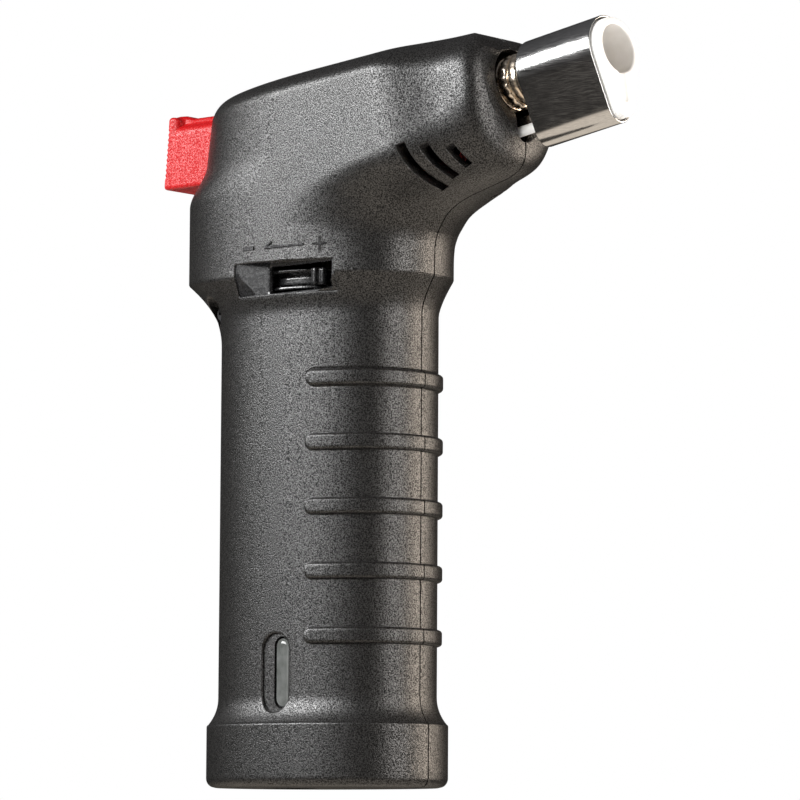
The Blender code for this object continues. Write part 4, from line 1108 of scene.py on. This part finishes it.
def trigger():
    """The thumb trigger: ridges on its rear face, a scoop behind its crown, and the tongue below."""

    def distance(x, y, z):
        rear = TRIGGER_REAR_X + TRIGGER_REAR_LEAN * (z - 116.5)
        ridged = ease(z, 117.4, 117.8) * (1.0 - ease(z, 127.2, 127.6))
        wave = 0.5 + 0.5 * np.cos((z - RIDGE_START) * 2.0 * math.pi / RIDGE_PITCH)
        rear = rear + ridged * RIDGE_DEPTH * wave
        form, face = round_box(x, y, z, *TRIGGER_BOX, 0.7) + TRIGGER_EDGE, rear - x + TRIGGER_EDGE
        button = np.hypot(np.maximum(form, 0.0), np.maximum(face, 0.0))
        button = button + np.minimum(np.maximum(form, face), 0.0) - TRIGGER_EDGE
        scoop = np.maximum(127.75 - z, -33.3 - x)
        button = soft_cut(button, scoop, 2.2)
        top = CROWN_TOP + 0.65 * np.clip((-31.4 - x) / 2.0, 0.0, 1.0)
        top = top - 0.012 * (x + 26.0) ** 2 * (x > -26.0)
        level = z - (top - CROWN_TOP)
        crown = round_box(x, y, level, (-36.0, -4.8, 120.0), (-17.6, 4.8, CROWN_TOP), 1.0)
        crown = np.maximum(crown, -36.0 - x)
        solid = soft_union(button, crown, 0.9)
        ramp = 110.2 + (x + 14.0) * math.tan(math.radians(15.0))
        roof = np.minimum(116.5, 113.4 - (x + 14.0) * 0.433)
        tongue = most(ramp - z, z - roof, abs(y) - 3.0, abs(x + 20.0) - 6.0)
        return np.minimum(solid, tongue * 0.9)

    made = solid_from("trigger_button", distance, (-38.4, -7.2, 106.2), (-13.4, 7.2, 130.4), 0.15)
    dress(made, "red_plastic", "trigger", ["trigger"], smooth_angle=None)


LEVER_REST = math.radians(-56.0)
SECTOR_MIDDLE = math.radians(-14.0)
SECTOR_HALF = math.radians(44.0)


def flame_lever():
    """The flame lever: a hub, a flanged sector behind the slot and a tab with two finger bars."""

    def distance(x, y, z):
        radius, angle = np.hypot(x, y), np.arctan2(y, x) - LEVER_REST
        u = radius * np.cos(angle)
        v = radius * np.sin(angle)

        def washer(inner, outer, middle, half):
            return most(radius - outer, inner - radius, abs(z - middle) - half)

        hub = washer(4.5, 6.4, 93.1, 2.5)
        web = washer(5.6, 12.6, 94.0, 0.7)
        rim, groove = washer(10.3, 13.7, 94.2, 1.9), washer(11.5, 14.5, 94.2, 1.25)
        sector = np.minimum(web, soft_cut(rim, groove, 0.3))
        sector = np.maximum(sector, (abs(angle - SECTOR_MIDDLE) - SECTOR_HALF) * radius)
        arm = round_box(u, v, z, (5.8, -1.4, 92.9), (15.8, 1.4, 95.1), 0.3)
        tab = round_box(u, v, z, (14.6, -1.5, 92.6), (16.4, 1.5, 95.9), 0.3)
        solid = np.minimum(soft_union(hub, sector, 0.4), soft_union(arm, tab, 0.4))
        for across in (-0.75, 0.75):
            bar = np.hypot(np.hypot(u - 16.35, v - across), np.maximum(abs(z - 94.25) - 1.25, 0.0)) - 0.45
            solid = soft_union(solid, bar, 0.2)
        return solid

    made = solid_from("flame_lever_body", distance, (-9.0, -18.2, 90.0), (15.0, 7.4, 96.9), 0.17)
    dress(made, "lever_plastic", "flame_lever", ["flame_adjust_lever"], smooth_angle=None)


trigger()
flame_lever()


# ---------------- tank


BULGE_MIDDLE = (1.8, 21.05)
BULGE_HALF = 1.45
BULGE_SPINE = 6.25 - BULGE_HALF
BULGE_Y = -14.05
BULGE_RISE = 0.6


def tank_window():
    """The tank's clear bulge that shows the fuel, in the handle's window."""

    def distance(x, y, z):
        spine = np.maximum(abs(z - BULGE_MIDDLE[1]) - BULGE_SPINE, 0.0)
        across = np.hypot((x - BULGE_MIDDLE[0]) / BULGE_HALF, spine / BULGE_HALF)
        crown = BULGE_Y - BULGE_RISE * np.sqrt(np.maximum(1.0 - across**2, 0.0))
        return most((across - 1.0) * BULGE_HALF, crown - y, y + 11.35)

    made = solid_from("fuel_tank_window", distance, (-0.2, -15.1, 14.2), (3.8, -11.0, 27.9), 0.1)
    dress(made, "tank_plastic", smooth_angle=60.0)


tank_window()


# ---------------- springs


def spring(node):
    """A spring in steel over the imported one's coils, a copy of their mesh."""
    made = placed(node + "_coil", frame["nodes"][node].data.copy())
    dress(made, "stainless", stands_for=[node], smooth_angle=60.0)
    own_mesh(made)


spring("refill_valve_spring")
spring("outlet_valve_spring")
spring("piezo_spring")


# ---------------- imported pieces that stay


SLOTS = {part["node"]: part["material_slot"] for part in frame["record"]["subparts"]}
for node_name, kept in frame["nodes"].items():
    if kept.hide_render:
        continue
    kept.data.materials.clear()
    # Screws take the near-black steel, which paints the shade inside their wells
    look = "screw_steel" if node_name.startswith("screw_") else SLOTS[node_name]
    kept.data.materials.append(LOOKS[look])


# ---------------- stage, lights and camera


FLOOR_HALF = 3000.0
FLOOR_Z = -0.6


def floor():
    """A pale floor that is seen from above only, because the camera looks from just below it."""
    corners = [(FLOOR_HALF * x, FLOOR_HALF * y, FLOOR_Z) for x, y in ((-1, -1), (1, -1), (1, 1), (-1, 1))]
    made = mesh_object("floor", corners, [(0, 1, 2, 3)])
    if made.data.polygons[0].normal.z < 0.0:
        made.data.flip_normals()
    look, link, inputs, node = new_material("floor")
    preset(inputs, Base_Color=(0.86, 0.86, 0.86, 1.0), Roughness=0.7)
    side, clear, mix = node("NewGeometry"), node("BsdfTransparent"), node("MixShader")
    link(side.outputs["Backfacing"], mix.inputs["Fac"])
    link(look.node_tree.nodes["Principled BSDF"].outputs["BSDF"], mix.inputs[1])
    link(clear.outputs["BSDF"], mix.inputs[2])
    output = look.node_tree.nodes["Material Output"]
    link(mix.outputs["Shader"], output.inputs["Surface"])
    made.data.materials.append(look)
    made.visible_glossy = False


# Height of a direction, from -1 straight down to 1 straight up, and the studio's colour there
SKY_SHADES = [
    (-0.52, (0.85, 0.75, 0.63)),
    (-0.4, (0.035, 0.033, 0.03)),
    (0.3, (0.03, 0.03, 0.031)),
]
SKY_BELOW = (0.9, 0.8, 0.68)
SKY_ABOVE = (0.12, 0.12, 0.125)


def sky():
    """A studio that is white to the camera; its light is warm from below and dim at eye level."""
    world = bpy.data.worlds.new("studio")
    bpy.context.scene.world = world
    world.use_nodes = True
    tree = world.node_tree
    back = tree.nodes["Background"]
    node, link = node_maker(tree), tree.links.new
    place, split, height_of = node("TexCoord"), node("SeparateXYZ"), node("MapRange", From_Min=-1.0)
    ramp, seen, mix = node("ValToRGB"), node("LightPath"), node("MixShader")
    white = node("Background", Color=(1.0, 1.0, 1.0, 1.0), Strength=1.0)
    link(place.outputs["Generated"], split.inputs["Vector"])
    link(split.outputs["Z"], height_of.inputs["Value"])
    link(height_of.outputs["Result"], ramp.inputs["Fac"])
    stops = ramp.color_ramp.elements
    stops[0].position, stops[0].color = 0.0, (*SKY_BELOW, 1.0)
    stops[1].position, stops[1].color = 1.0, (*SKY_ABOVE, 1.0)
    for height, shade in SKY_SHADES:
        stops.new((height + 1.0) / 2.0).color = (*shade, 1.0)
    link(ramp.outputs["Color"], back.inputs["Color"])
    link(seen.outputs["Is Camera Ray"], mix.inputs["Fac"])
    link(back.outputs["Background"], mix.inputs[1])
    link(white.outputs["Background"], mix.inputs[2])
    link(mix.outputs["Shader"], tree.nodes["World Output"].inputs["Surface"])


def lamp(name, place, target, size, power, colour=(1.0, 1.0, 1.0)):
    """A soft rectangular lamp aimed at a target, sizes and places in millimetres."""
    data = bpy.data.lights.new(name, "AREA")
    data.shape = "RECTANGLE"
    data.size, data.size_y = size[0] * MM, size[1] * MM
    data.energy = power
    data.color = colour
    made = placed(name, data)
    made.location = Vector(place) * MM
    towards = Vector(target) - Vector(place)
    made.rotation_euler = towards.to_track_quat("-Z", "Y").to_euler()


# The camera's azimuth, elevation and roll in degrees, its target, its distance and its lens
CAMERA_ANGLES = (40.179, -5.828, 0.337)
CAMERA_TARGET = (10.22, 8.63, 72.92)
CAMERA_DISTANCE = 847.46
CAMERA_LENS = 202.5
CAMERA_SENSOR = 36.0


def camera():
    """The camera at the photographed view: low, to the right and ahead of the torch."""
    azimuth, elevation, roll = map(math.radians, CAMERA_ANGLES)
    level = math.cos(elevation)
    back = Vector((math.sin(azimuth) * level, -math.cos(azimuth) * level, math.sin(elevation)))
    right = (-back).cross(Vector((0.0, 0.0, 1.0))).normalized()
    up = back.cross(right)
    turned_right = right * math.cos(roll) + up * math.sin(roll)
    turned_up = up * math.cos(roll) - right * math.sin(roll)
    data = bpy.data.cameras.new("camera")
    data.lens, data.sensor_width = CAMERA_LENS, CAMERA_SENSOR
    data.clip_start, data.clip_end = 0.05, 20.0
    made = placed("camera", data)
    place = Matrix((turned_right, turned_up, back)).transposed().to_4x4()
    place.translation = (Vector(CAMERA_TARGET) + back * CAMERA_DISTANCE) * MM
    made.matrix_world = place
    bpy.context.scene.camera = made


floor()
sky()
lamp("left_box", (-423.0, -795.0, 490.0), (0.0, 0.0, 90.0), (1000.0, 360.0), 21.0)
lamp("right_strip", (700.0, 0.0, 180.0), (0.0, 0.0, 80.0), (200.0, 600.0), 4.0, (1.0, 0.96, 0.92))
lamp("rear_right", (420.0, 460.0, 120.0), (10.0, 0.0, 70.0), (260.0, 400.0), 3.4, (1.0, 0.86, 0.72))
camera()
bpy.context.scene.view_settings.view_transform = "Standard"
